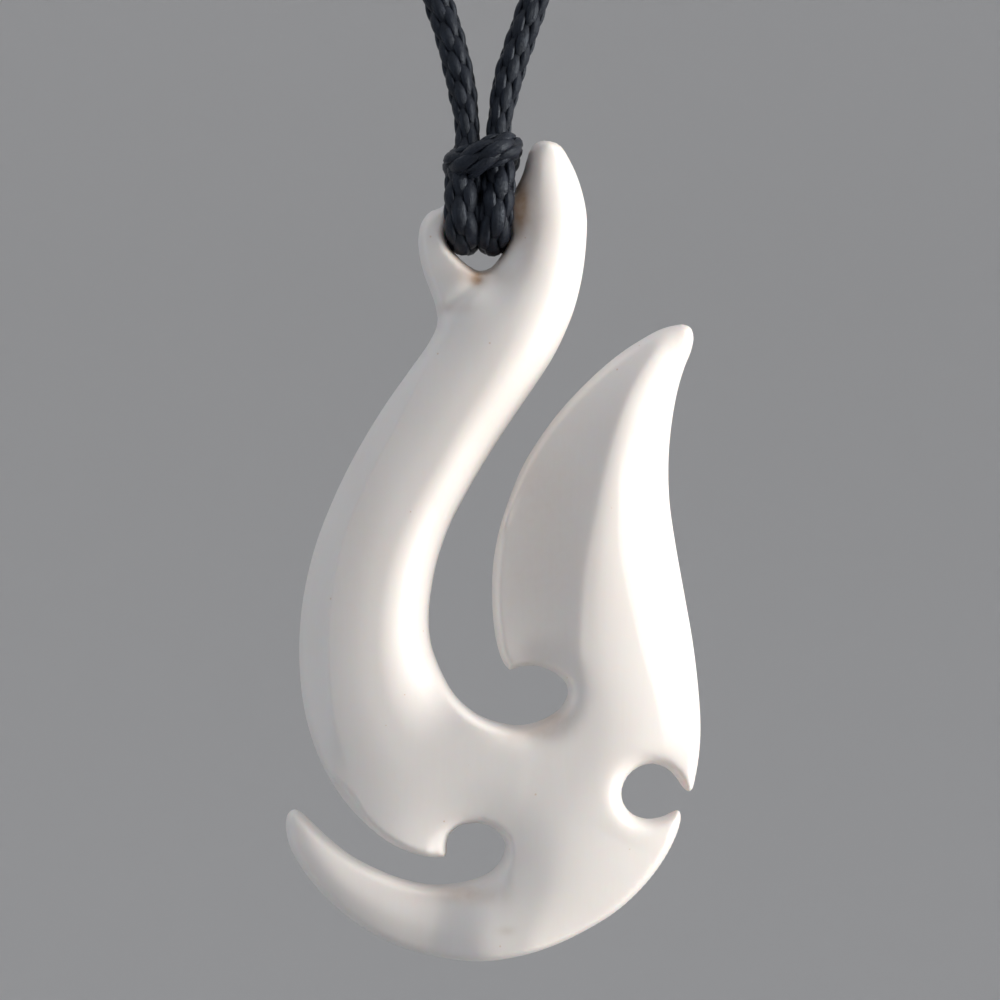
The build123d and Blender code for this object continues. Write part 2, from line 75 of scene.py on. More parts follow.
# %% [markdown]
# The cord is one length. It leaves the nape, comes down the left side, goes round the bone's
# bridge to the back, crosses both strands as the hitch's collar and climbs to the nape again.
# A curve with its points on the cord would need dozens of them. A NURBS spline only leans on
# its points, so the few that were chosen for the route give a line as smooth as a loaded cord.
# In the tight hitch the two strands then give a little: they press together and sag.

# %% The cord's route
cord_dia = 1.9 * mm
left_side = [
    (-1.6, 2.6, 0.0), (-20.5, 1.4, -0.8), (-40.0, -7.4, -4.0), (-54.5, -24.0, -9.6),
    (-61.4, -45.5, -19.4), (-60.6, -66.5, -36.5), (-54.0, -80.4, -61.0), (-39.6, -88.8, -101.0),
    (-24.2, -95.6, -144.0), (-12.7, -100.4, -176.0), (-7.4, -102.4, -190.5), (-3.95, -103.9, -200.2),
    (-2.1, -104.5, -205.5), (-1.35, -104.8, -208.4), (-0.85, -105.0, -211.2), (-0.8, -105.2, -213.2),
    (-1.25, -106.1, -215.2),
]
left_turn = [(-1.15, -106.1, -218.4), (-1.2, -102.0, -218.4), (-1.25, -102.0, -215.2)]
collar = [(-1.35, -103.0, -213.8), (-1.4, -107.0, -214.4), (1.8, -107.3, -213.0), (1.65, -103.0, -213.2)]
right_turn = [(0.85, -102.0, -215.2), (0.8, -102.0, -218.4), (0.8, -106.1, -218.4)]
right_side = [
    (1.15, -106.1, -215.2), (1.0, -105.2, -213.0), (1.15, -105.0, -211.2), (1.75, -104.8, -208.4),
    (2.75, -104.5, -205.5), (4.56, -103.9, -200.2), (7.5, -102.4, -190.5), (12.0, -100.4, -176.3),
    (23.0, -95.5, -144.5), (38.8, -88.6, -101.5), (54.2, -80.2, -60.5), (60.8, -66.2, -36.2),
    (61.3, -45.3, -19.2), (54.3, -23.8, -9.4), (39.8, -7.3, -3.9), (20.3, 1.4, -0.8), (1.6, 2.6, 0.0),
]
route = left_side + left_turn + collar + right_turn + right_side


def spline_line(points, per_span):
    """Points on the NURBS spline that leans on these ones."""
    curve = bpy.data.curves.new("route", "CURVE")
    curve.dimensions = "3D"
    spline = curve.splines.new("NURBS")
    spline.points.add(len(points) - 1)
    for place, point in zip(spline.points, points):
        place.co = (*point, 1)
    spline.order_u = 3
    spline.use_endpoint_u = True
    spline.resolution_u = per_span
    holder = bpy.data.objects.new("route", curve)
    mesh = bpy.data.meshes.new_from_object(holder)
    line = np.array([vertex.co for vertex in mesh.vertices])
    bpy.data.meshes.remove(mesh)
    bpy.data.objects.remove(holder)
    bpy.data.curves.remove(curve)
    return line


def walked_length(line):
    """How far along the line each of its points lies."""
    steps = np.linalg.norm(np.diff(line, axis=0), axis=1)
    return np.concatenate([[0], np.cumsum(steps)])


def even_line(line, step):
    """The same line with its points a step apart."""
    walked = walked_length(line)
    places = np.linspace(0, walked[-1], int(walked[-1] / step) + 1)
    return np.stack([np.interp(places, walked, line[:, k]) for k in range(3)], axis=1)


# %% Where the strands give
# Columns: centre of the change (x, y, z in mm), its reach and its shift (x, y, z) in mm.
gives = [
    (-1.1, -106.3, -215.6, 2.2, 0.13, 0.0, 0.0),
    (1.0, -106.3, -215.6, 2.2, -0.05, 0.0, 0.0),
    (-1.1, -105.6, -219.2, 1.5, 0.26, 0.0, 0.0),
    (1.0, -105.6, -219.2, 1.5, -0.24, 0.0, 0.0),
    (0.0, -105.8, -219.2, 2.2, 0.0, 0.0, -0.26),
]


def pressed(line):
    """The line with its strands pressed together and down, each from its own side."""
    shift = np.zeros_like(line)
    for x, y, z, reach, *give in gives:
        gap = np.linalg.norm(line - np.array((x, y, z)) * mm, axis=1)
        side = np.ones(len(line)) if x == 0 else line[:, 0] * x > 0
        shift += np.outer(side * np.exp(-(gap / (reach * mm)) ** 2), give) * mm
    return line + shift


cord_line = even_line(pressed(spline_line([[x * mm for x in row] for row in route], 40)), 0.12 * mm)
print("cord's length in mm:", round(walked_length(cord_line)[-1] / mm, 1))

# %% [markdown]
# Braid is soft. Where the hitch squeezes its strands together they thin, and where they come
# round the bridge to the front they fatten and fill the notch. One number at each point of the
# line says how full the cord is there. A second value, a direction square to the line that never
# twists, tells every yarn where its turn starts, so that pieces of cord meet without a step.

# %% How full the cord is, and which way is its side
# Columns: centre of the change (x, y, z in mm), its reach in mm, fullness there.
fullness_changes = [
    (-1.2, -106.0, -216.0, 2.1, 1.38),
    (1.1, -106.0, -216.0, 2.1, 1.18),
    (-0.8, -105.2, -212.4, 1.4, 0.78),
    (1.0, -105.2, -212.0, 1.4, 0.78),
    (0.0, -107.0, -213.7, 1.3, 1.04),
    (-0.2, -105.6, -218.9, 1.6, 1.40),
]


usual_pull = 0.25


def fullness(line):
    """The cord's radius at each point of a line, as a share of its usual one."""
    total = np.full(len(line), usual_pull)
    pull = np.full(len(line), usual_pull)
    for x, y, z, reach, share in fullness_changes:
        gap = np.linalg.norm(line - np.array((x, y, z)) * mm, axis=1)
        weight = np.exp(-(gap / (reach * mm)) ** 2)
        total += weight
        pull += weight * share
    return pull / total


def side_directions(line):
    """A direction square to the line at each point, carried along it without a twist."""
    ahead = np.gradient(line, axis=0)
    ahead = ahead / np.linalg.norm(ahead, axis=1)[:, None]
    side = np.cross(ahead[0], (0, 0, 1))
    sides = []
    for direction in ahead:
        side = side - direction * (side @ direction)
        side = side / np.linalg.norm(side)
        sides.append(side)
    return np.array(sides)


def path_mesh(name, line, full, sides, walked):
    """A line of edges that carries what the braid's tree reads."""
    mesh = bpy.data.meshes.new(name)
    mesh.from_pydata(line.tolist(), [(i, i + 1) for i in range(len(line) - 1)], [])
    mesh.attributes.new("full", "FLOAT", "POINT").data.foreach_set("value", full.astype(np.float32))
    mesh.attributes.new("walked", "FLOAT", "POINT").data.foreach_set("value", walked.astype(np.float32))
    flat = sides.astype(np.float32).ravel()
    mesh.attributes.new("side", "FLOAT_VECTOR", "POINT").data.foreach_set("vector", flat)
    return mesh


# %% [markdown]
# The photograph shows long leaf-shaped stitches in columns, staggered like bricks and all leaning
# one way. That is a solid braid: every yarn turns the same way round the cord, shows for one
# stitch, dives under its neighbour and shows again two columns on. Modelling each yarn by hand
# would be endless, and a bump texture would leave a smooth outline. A rule does it: sixteen
# yarns share one path, each with its own start, and a cosine takes each one out and in again.
# So one Geometry Nodes tree makes any stretch of the cord.

# %% A small helper for node trees
def tree_with_inputs(name, kind, inputs, outputs):
    """A new node tree with these sockets, and its input and output nodes."""
    tree = bpy.data.node_groups.new(name, kind)
    for label, socket, value in inputs:
        made = tree.interface.new_socket(label, in_out="INPUT", socket_type=socket)
        if value is not None:
            made.default_value = value
    for label, socket in outputs:
        tree.interface.new_socket(label, in_out="OUTPUT", socket_type=socket)
    return tree, tree.nodes.new("NodeGroupInput"), tree.nodes.new("NodeGroupOutput")


class Wiring:
    """Adds nodes to a tree: values given as sockets are linked, and the others are set."""

    def __init__(self, tree):
        self.tree = tree

    def node(self, kind, settings=(), **values):
        made = self.tree.nodes.new(kind)
        for key, value in dict(settings).items():
            setattr(made, key, value)
        for key, value in values.items():
            self.feed(made.inputs[key.replace("_", " ")], value)
        return made

    def feed(self, socket, value):
        if isinstance(value, bpy.types.NodeSocket):
            self.tree.links.new(value, socket)
        else:
            socket.default_value = value

    def math(self, operation, *values):
        made = self.tree.nodes.new("ShaderNodeMath")
        made.operation = operation
        for socket, value in zip(made.inputs, values):
            self.feed(socket, value)
        return made.outputs[0]

    def plus(self, first, second):
        return self.math("ADD", first, second)

    def minus(self, first, second):
        return self.math("SUBTRACT", first, second)

    def times(self, first, second):
        return self.math("MULTIPLY", first, second)

    def over(self, first, second):
        return self.math("DIVIDE", first, second)

    def vector(self, operation, *values):
        made = self.tree.nodes.new("ShaderNodeVectorMath")
        made.operation = operation
        for socket, value in zip(made.inputs, values):
            self.feed(socket, value)
        return made.outputs[0]

    def scaled(self, vector, factor):
        made = self.tree.nodes.new("ShaderNodeVectorMath")
        made.operation = "SCALE"
        self.feed(made.inputs[0], vector)
        self.feed(made.inputs["Scale"], factor)
        return made.outputs[0]

    def noise(self, vector, scale, detail=2.0, roughness=0.5):
        made = self.tree.nodes.new("ShaderNodeTexNoise")
        self.feed(made.inputs["Vector"], vector)
        made.inputs["Scale"].default_value = scale
        made.inputs["Detail"].default_value = detail
        made.inputs["Roughness"].default_value = roughness
        return made.outputs["Fac"]

    def carried(self, name):
        """A value that the piece's own mesh carries, read in its material."""
        found = self.node("ShaderNodeAttribute")
        found.attribute_name = name
        return found.outputs["Fac"]

    def mixed(self, share, first, second, blend="MIX"):
        """A colour some share of the way from one to another."""
        made = self.node("ShaderNodeMix", {"data_type": "RGBA", "blend_type": blend})
        self.feed(made.inputs["Factor"], share)
        self.feed(made.inputs[6], first)
        self.feed(made.inputs[7], second)
        return made.outputs[2]


# %% The braid's tree
wander_along = 0.3
wander_out = 0.08 * mm
core_share = 0.6


def braid_tree():
    """Yarns that turn round a path and dive under each other after each stitch, round a core."""
    tree, given, result = tree_with_inputs("braid_along_path", "GeometryNodeTree", [
        ("Path", "NodeSocketGeometry", None),
        ("Yarns", "NodeSocketInt", 16),
        ("Columns", "NodeSocketInt", 8),
        ("Cord radius", "NodeSocketFloat", cord_dia / 2),
        ("Stitch length", "NodeSocketFloat", 1.83 * mm),
        ("Lean back", "NodeSocketFloat", 0.17),
        ("Weave depth", "NodeSocketFloat", 0.17 * mm),
        ("Yarn width", "NodeSocketFloat", 0.76 * mm),
        ("Yarn depth", "NodeSocketFloat", 0.42 * mm),
        ("Taper", "NodeSocketFloat", 0.2),
        ("Step", "NodeSocketFloat", 0.2 * mm),
        ("Sides", "NodeSocketInt", 8),
        ("Seed", "NodeSocketFloat", 0.0),
        ("Material", "NodeSocketMaterial", None),
    ], [("Braid", "NodeSocketGeometry")])
    w = Wiring(tree)
    sockets = given.outputs

    def carried(name, kind):
        found = w.node("GeometryNodeInputNamedAttribute", {"data_type": kind})
        found.inputs["Name"].default_value = name
        return found.outputs["Attribute"]

    def stored(geometry, name, kind, value):
        made = w.node("GeometryNodeStoreNamedAttribute", {"data_type": kind, "domain": "POINT"})
        made.inputs["Name"].default_value = name
        w.feed(made.inputs["Geometry"], geometry)
        w.feed(made.inputs["Value"], value)
        return made.outputs["Geometry"]

    curve = w.node("GeometryNodeMeshToCurve", Mesh=sockets["Path"])
    even = w.node("GeometryNodeResampleCurve", {"mode": "LENGTH"},
                  Curve=curve.outputs["Curve"], Length=sockets["Step"])
    copies = w.node("GeometryNodeDuplicateElements", {"domain": "SPLINE"},
                    Geometry=even.outputs["Curve"], Amount=sockets["Yarns"])
    index = copies.outputs["Duplicate Index"]

    # Neighbouring columns start half a stitch apart, and a column's two yarns a whole one.
    column = w.math("MODULO", index, sockets["Columns"])
    odd = w.math("MODULO", index, 2)
    second = w.math("FLOOR", w.over(w.plus(index, 0.5), sockets["Columns"]))
    start = w.plus(w.times(odd, 0.5), second)
    walked = w.over(carried("walked", "FLOAT"), sockets["Stitch length"])

    # No braid is perfect: each yarn wanders a little, by noise that its own number shifts.
    shift = w.node("ShaderNodeCombineXYZ", X=w.times(index, 7.3), Y=sockets["Seed"], Z=walked)
    wander = w.minus(w.noise(shift.outputs["Vector"], 0.8, 1.0), 0.5)
    stitches = w.plus(w.minus(walked, start), w.times(wander, wander_along))
    phase = w.times(stitches, math.pi)
    out_and_in = w.math("COSINE", phase)
    column_angle = w.over(2 * math.pi, sockets["Columns"])
    moved_on = w.times(column_angle, w.plus(column, w.over(phase, math.pi)))
    eased = w.times(w.math("SINE", phase), sockets["Lean back"])
    angle = w.times(w.minus(moved_on, eased), -1)

    full = carried("full", "FLOAT")
    half_yarn = w.times(sockets["Yarn depth"], 0.5)
    middle = w.minus(w.minus(sockets["Cord radius"], half_yarn), sockets["Weave depth"])
    lifted = w.plus(w.times(out_and_in, sockets["Weave depth"]), w.times(wander, wander_out))
    out = w.times(w.plus(middle, lifted), full)
    thinned = w.minus(1, w.times(w.minus(1, out_and_in), sockets["Taper"]))

    side = w.vector("NORMALIZE", carried("side", "FLOAT_VECTOR"))
    ahead = w.node("GeometryNodeInputTangent").outputs["Tangent"]
    up = w.vector("CROSS_PRODUCT", ahead, side)
    radial = w.vector("ADD", w.scaled(side, w.math("COSINE", angle)), w.scaled(up, w.math("SINE", angle)))
    kept = stored(copies.outputs["Geometry"], "radial", "FLOAT_VECTOR", radial)
    kept = stored(kept, "thick", "FLOAT", w.times(full, thinned))
    kept = stored(kept, "rise", "FLOAT", w.plus(0.5, w.times(out_and_in, 0.5)))
    kept = stored(kept, "yarn", "FLOAT", index)
    outwards = carried("radial", "FLOAT_VECTOR")
    moved = w.node("GeometryNodeSetPosition", Geometry=kept, Offset=w.scaled(outwards, out))
    faced = w.node("GeometryNodeSetCurveNormal", {"mode": "FREE"},
                   Curve=moved.outputs["Geometry"], Normal=carried("radial", "FLOAT_VECTOR"))

    # A yarn is flatter than it is wide, as the wax and the braiding press it.
    ring = w.node("GeometryNodeCurvePrimitiveCircle", {"mode": "RADIUS"},
                  Resolution=sockets["Sides"], Radius=0.5)
    size = w.node("ShaderNodeCombineXYZ", X=sockets["Yarn depth"], Y=sockets["Yarn width"], Z=1.0)
    section = w.node("GeometryNodeTransform", Geometry=ring.outputs["Curve"], Scale=size.outputs["Vector"])
    around = w.node("GeometryNodeSplineParameter").outputs["Factor"]
    section = stored(section.outputs["Geometry"], "around", "FLOAT", around)
    yarn = w.node("GeometryNodeCurveToMesh", Curve=faced.outputs["Curve"], Profile_Curve=section,
                  Scale=carried("thick", "FLOAT"), Fill_Caps=True)

    core_ring = w.node("GeometryNodeCurvePrimitiveCircle", {"mode": "RADIUS"}, Resolution=8,
                       Radius=w.times(sockets["Cord radius"], core_share))
    core = w.node("GeometryNodeCurveToMesh", Curve=even.outputs["Curve"],
                  Profile_Curve=core_ring.outputs["Curve"], Scale=full, Fill_Caps=True)

    joined = w.node("GeometryNodeJoinGeometry")
    w.tree.links.new(core.outputs["Mesh"], joined.inputs["Geometry"])
    w.tree.links.new(yarn.outputs["Mesh"], joined.inputs["Geometry"])
    smooth = w.node("GeometryNodeSetShadeSmooth", Geometry=joined.outputs["Geometry"], Shade_Smooth=True)
    real = w.node("GeometryNodeRealizeInstances", Geometry=smooth.outputs["Geometry"])
    finished = w.node("GeometryNodeSetMaterial", Geometry=real.outputs["Geometry"],
                      Material=sockets["Material"])
    tree.links.new(finished.outputs["Geometry"], result.inputs["Braid"])
    return tree


braid = braid_tree()
print("braid tree has", len(braid.nodes), "nodes")


# %% Running the tree on a stretch of line
def made_by_tree(name, path, tree, **values):
    """A plain mesh object: the path with the tree run on it once."""
    worker = bpy.data.objects.new(name + "_path", path)
    scene.collection.objects.link(worker)
    modifier = worker.modifiers.new("tree", "NODES")
    modifier.node_group = tree
    for item in tree.interface.items_tree:
        key = item.name.replace(" ", "_")
        if item.in_out == "INPUT" and key in values:
            modifier[item.identifier] = values[key]
    bpy.context.view_layer.update()
    evaluated = worker.evaluated_get(bpy.context.evaluated_depsgraph_get())
    mesh = bpy.data.meshes.new_from_object(evaluated)
    bpy.data.objects.remove(worker)
    mesh.name = name
    piece = bpy.data.objects.new(name, mesh)
    scene.collection.objects.link(piece)
    return piece


def report(piece):
    """Prints a piece's box in mm and its count of triangles."""
    mesh = piece.data
    mesh.calc_loop_triangles()
    places = np.array([vertex.co for vertex in mesh.vertices]) / mm
    print(piece.name, "from", places.min(axis=0).round(2), "to", places.max(axis=0).round(2),
          "mm,", len(mesh.loop_triangles), "triangles")


# %% [markdown]
# The hitch and the strands just above it are what the picture shows, so they get fine yarns.
# The long hidden stretches round the neck get fewer sides and longer steps from the same tree.
# All three read their place along the whole cord, so the yarns run on where two pieces meet.

# %% The cord in three stretches
cord_material = bpy.data.materials.new("waxed_black_braid")
cord_full = fullness(cord_line)
cord_sides = side_directions(cord_line)
cord_walked = walked_length(cord_line)
fine_top_z = -196 * mm
low_points = np.flatnonzero(cord_line[:, 2] < fine_top_z)
first_low = int(low_points[0])
last_low = int(low_points[-1])

stretches = [
    ("braid_left", 0, first_low, 6, 0.42 * mm),
    ("braid_hitch", first_low, last_low, 8, 0.16 * mm),
    ("braid_right", last_low, len(cord_line) - 1, 6, 0.42 * mm),
]
cord_pieces = []
for name, first, last, sides, step in stretches:
    part = slice(first, last + 1)
    path = path_mesh(name + "_line", cord_line[part], cord_full[part], cord_sides[part], cord_walked[part])
    piece = made_by_tree(name, path, braid, Step=step, Sides=sides, Material=cord_material)
    report(piece)
    cord_pieces.append(piece)

# %% [markdown]
# At the nape the two ends are joined by a barrel knot: one end is wound round the other, five
# turns side by side, and both are drawn inside. The hidden knot could stay a plain barrel, but
# a few turns of the same braid cost nothing, because a helix is only one more path for the tree.

# %% The closure knot
knot_turns = 5
knot_centre = Vector((0, 2.6 * mm, 0))
coil_radius = (5.2 * mm - cord_dia) / 2
tuck_turns = 0.5


def coil_point(turn):
    """A place on the coil: its ends draw in towards the cord that they are wound round."""
    past_end = max(-turn, turn - (knot_turns - 1), 0) / tuck_turns
    radius = coil_radius * (1 - 0.65 * past_end)
    along = (min(max(turn, 0), knot_turns - 1) - (knot_turns - 1) / 2) * cord_dia
    angle = turn * 2 * math.pi
    return knot_centre + Vector((along, radius * math.cos(angle), radius * math.sin(angle)))


turns = np.arange(-tuck_turns, knot_turns - 1 + tuck_turns + 0.001, 1 / 48)
coil_line = even_line(np.array([coil_point(turn) for turn in turns]), 0.12 * mm)
coil_path = path_mesh("coil_line", coil_line, np.ones(len(coil_line)), side_directions(coil_line),
                      walked_length(coil_line))
knot = made_by_tree("barrel_knot", coil_path, braid, Step=0.3 * mm, Sides=6, Seed=4.0,
                    Material=cord_material)
report(knot)

# %% [markdown]
# Seen from the front, the bone is one outline with a hole, cut with a fine saw. Its sharp corners are
# where two cuts meet, and between them the line is a smooth sweep. So the outline is kept as runs of a few
# chosen points, shares of the bone's width and height, and a curve is drawn through each run. The hole's
# round top and sides are what two strands of cord need, and its lower side is a run of chosen points too.

# %% The bone's sizes
hook_height = 50 * mm
hook_width = 25.3 * mm
front_rise = 3.0 * mm
back_rise = 2.1 * mm
edge_reach = 0.5 * mm
back_edge_reach = 1.8 * mm
thinnest = 0.004 * mm
back_fall = 0.35
cord_gap = 0.1 * mm
squeeze = 0.15 * mm
bridge_height = 1.5 * mm
bridge_depth = 1.4 * mm
notch_slope = 0.05
hole_x = -0.2 * mm
hole_z = -218.4 * mm
hole_across = 0.4626
hole_up = 0.8838

# %% The outline's runs, clockwise from the left prong
# Columns: across and up, as shares of the width from the left and the height from the bottom.
left_prong = [
    (0.366, 0.783), (0.360, 0.800), (0.347, 0.818), (0.332, 0.839), (0.322, 0.861), (0.3196, 0.882),
    (0.327, 0.900), (0.347, 0.913), (0.372, 0.9185),
]
right_prong_to_barb = [
    (0.5435, 0.935), (0.560, 0.9475), (0.572, 0.961), (0.581, 0.977), (0.589, 0.989), (0.606, 0.998),
    (0.628, 1.000), (0.659, 0.995), (0.688, 0.973), (0.711, 0.944), (0.725, 0.910), (0.724, 0.875),
    (0.7145, 0.835), (0.696, 0.796), (0.674, 0.767), (0.644, 0.736), (0.601, 0.702), (0.550, 0.664),
    (0.493, 0.620), (0.4415, 0.576), (0.396, 0.532), (0.365, 0.488), (0.3485, 0.4445), (0.345, 0.413),
    (0.350, 0.387), (0.371, 0.3565), (0.403, 0.327), (0.440, 0.308), (0.476, 0.297), (0.517, 0.290),
    (0.556, 0.287), (0.597, 0.290), (0.635, 0.298), (0.664, 0.3095), (0.6795, 0.325), (0.677, 0.336),
    (0.662, 0.3455), (0.633, 0.355), (0.597, 0.3595), (0.563, 0.358), (0.540, 0.3545),
]
blade = [
    (0.540, 0.3545), (0.529, 0.360), (0.518, 0.371), (0.507, 0.391), (0.499, 0.4225), (0.497, 0.452),
    (0.501, 0.488), (0.5145, 0.525), (0.5375, 0.5615), (0.569, 0.601), (0.609, 0.635), (0.663, 0.6715),
    (0.731, 0.708), (0.798, 0.7375), (0.855, 0.757), (0.903, 0.770), (0.937, 0.775), (0.959, 0.776),
    (0.976, 0.772), (0.983, 0.761), (0.978, 0.745), (0.961, 0.723), (0.944, 0.6935), (0.930, 0.653),
    (0.923, 0.6105), (0.925, 0.5615), (0.940, 0.507), (0.962, 0.4445), (0.982, 0.386), (0.995, 0.330),
    (1.000, 0.287), (0.997, 0.254), (0.988, 0.225), (0.979, 0.2085), (0.971, 0.206),
]
right_curl = [
    (0.971, 0.206), (0.963, 0.2085), (0.952, 0.215), (0.938, 0.225), (0.9155, 0.235), (0.884, 0.240),
    (0.850, 0.236), (0.824, 0.225), (0.810, 0.209), (0.813, 0.193), (0.833, 0.1795), (0.867, 0.173),
    (0.901, 0.1745), (0.9275, 0.180), (0.943, 0.183), (0.949, 0.182),
]
keel_and_tail = [
    (0.949, 0.182), (0.952, 0.177), (0.949, 0.165), (0.937, 0.148), (0.908, 0.121), (0.862, 0.091),
    (0.7995, 0.0617), (0.725, 0.038), (0.645, 0.019), (0.553, 0.0055), (0.459, 0.000), (0.365, 0.005),
    (0.266, 0.019), (0.174, 0.0446), (0.099, 0.076), (0.0435, 0.109), (0.010, 0.139), (0.000, 0.1625),
    (0.004, 0.178), (0.019, 0.184), (0.036, 0.181), (0.063, 0.1685), (0.106, 0.148), (0.159, 0.1275),
    (0.217, 0.112), (0.280, 0.0995), (0.343, 0.093), (0.401, 0.0937), (0.454, 0.099), (0.495, 0.109),
    (0.522, 0.126), (0.528, 0.143), (0.5145, 0.156), (0.4855, 0.1655), (0.452, 0.168), (0.418, 0.164),
    (0.396, 0.1545), (0.388, 0.140), (0.388, 0.131), (0.382, 0.1264),
]
shank_outside = [
    (0.382, 0.1264), (0.353, 0.1264), (0.304, 0.132), (0.251, 0.144), (0.193, 0.1667), (0.1425, 0.194),
    (0.099, 0.228), (0.064, 0.2686), (0.042, 0.3126), (0.0326, 0.360), (0.034, 0.409), (0.047, 0.458),
    (0.0725, 0.5085), (0.111, 0.559), (0.163, 0.6136), (0.231, 0.6716), (0.295, 0.718), (0.342, 0.7515),
    (0.3623, 0.7717), (0.366, 0.783),
]

hole_low_side = [
    (0.5266, 0.8668), (0.5124, 0.8556), (0.4942, 0.8454), (0.4666, 0.8414), (0.4409, 0.8474),
    (0.4211, 0.8558), (0.4009, 0.8664),
]


# %% Drawing the outline and the hole
def place(across, up):
    """A point of the bone's middle plane, from its shares of the width and height."""
    x = hole_x + hook_width * (across - hole_across)
    z = hole_z + hook_height * (up - hole_up)
    return (x, z)


def smooth_run(corners, step):
    """Points about a step apart on a smooth curve through the corners, without the last one."""
    knots = np.array(corners, dtype=float)
    knots = np.vstack([2 * knots[0] - knots[1], knots, 2 * knots[-1] - knots[-2]])
    points = []
    for i in range(1, len(knots) - 2):
        p0, p1, p2, p3 = knots[i - 1:i + 3]
        gap0 = math.sqrt(np.linalg.norm(p1 - p0))
        gap1 = math.sqrt(np.linalg.norm(p2 - p1))
        gap2 = math.sqrt(np.linalg.norm(p3 - p2))
        slope1 = (p1 - p0) / gap0 - (p2 - p0) / (gap0 + gap1) + (p2 - p1) / gap1
        slope2 = (p2 - p1) / gap1 - (p3 - p1) / (gap1 + gap2) + (p3 - p2) / gap2
        count = max(1, round(np.linalg.norm(p2 - p1) / step))
        t = (np.arange(count) / count)[:, None]
        away1 = (2 * t**3 - 3 * t**2 + 1) * p1 + (t**3 - 2 * t**2 + t) * gap1 * slope1
        away2 = (3 * t**2 - 2 * t**3) * p2 + (t**3 - t**2) * gap1 * slope2
        points.append(away1 + away2)
    return np.vstack(points)


def outer_outline(step):
    """The bone's outline, with the notch between the prongs cut down to the bridge."""
    strand_drop = bridge_height / 2 + cord_gap + cord_dia / 2
    notch_z = hole_z + strand_drop + bridge_height / 2
    half_notch = cord_dia + cord_gap / 2
    notch = [(hole_x + x, notch_z + notch_slope * x) for x in (-0.6 * half_notch, 0, 0.6 * half_notch)]
    prongs = [place(*row) for row in left_prong] + notch + [place(*row) for row in right_prong_to_barb]
    runs = [prongs]
    for table in (blade, right_curl, keel_and_tail, shank_outside):
        runs.append([place(*row) for row in table])
    return np.vstack([smooth_run(run, step) for run in runs])


def hole_outline(step):
    """The hole: round beside the two strands that fill it, and narrower below them."""
    side = cord_dia / 2 + cord_gap - squeeze
    half = (cord_dia + cord_gap) / 2

    def beside(strand, degrees):
        angles = np.radians(degrees)
        return [(hole_x + strand + side * math.cos(a), hole_z + side * math.sin(a)) for a in angles]

    top = (hole_x, hole_z + side)
    right = beside(half, (90, 60, 30, 0, -30))
    left = beside(-half, (210, 180, 150, 120, 90))
    low = [place(*row) for row in hole_low_side]
    return smooth_run([top, *right, *low, *left, top], step)


rim_step = 0.12 * mm
outer_rim = outer_outline(rim_step)
hole_rim = hole_outline(rim_step)[::-1]
print("rim points:", len(outer_rim), "round the bone and", len(hole_rim), "round the hole")

# %% [markdown]
# A carver first leaves each limb with one ridge, rounds or hollows what lies beside it, and then
# files a crisp bevel along an edge. Sculpting that on a dense mesh by hand wouldn't give such
# clean lines. Here the height of the face is worked out at each point instead, in the carver's
# order: a flat slab with eased edges, falls away from the ridges, bevels, scoops round the holes.

# %% Ridges, bevels and scoops
# Columns: across and up as shares of width and height, then as shares of the rise: the ridge's
# height there, and how far the face falls from it to the left edge and to the right one.
shank_ridge = [
    (0.632, 0.994, 0.56, 0.16, 0.20), (0.622, 0.965, 0.68, 0.26, 0.45), (0.623, 0.922, 0.80, 0.36, 0.66),
    (0.625, 0.897, 0.86, 0.40, 0.70), (0.615, 0.869, 0.90, 0.40, 0.72), (0.598, 0.833, 0.94, 0.44, 0.74),
    (0.572, 0.803, 0.97, 0.46, 0.76), (0.526, 0.757, 1.00, 0.38, 0.78), (0.473, 0.708, 1.00, 0.28, 0.78),
    (0.413, 0.659, 1.00, 0.28, 0.78), (0.360, 0.610, 1.00, 0.28, 0.78), (0.304, 0.562, 1.00, 0.28, 0.78),
    (0.258, 0.513, 1.00, 0.28, 0.78), (0.229, 0.464, 1.00, 0.28, 0.78), (0.215, 0.415, 1.00, 0.28, 0.78),
    (0.215, 0.366, 1.00, 0.28, 0.76), (0.232, 0.317, 1.00, 0.28, 0.70), (0.268, 0.275, 1.00, 0.28, 0.50),
    (0.323, 0.242, 1.00, 0.28, 0.20), (0.398, 0.222, 1.00, 0.18, 0.04), (0.508, 0.210, 1.00, 0.03, 0.00),
]
prong_ridge = [
    (0.374, 0.912, 0.50, 0.10, 0.00), (0.378, 0.888, 0.62, 0.10, 0.00), (0.388, 0.862, 0.74, 0.08, 0.00),
    (0.408, 0.838, 0.86, 0.04, 0.00), (0.445, 0.815, 0.96, 0.00, 0.00), (0.500, 0.795, 1.00, 0.00, 0.00),
]
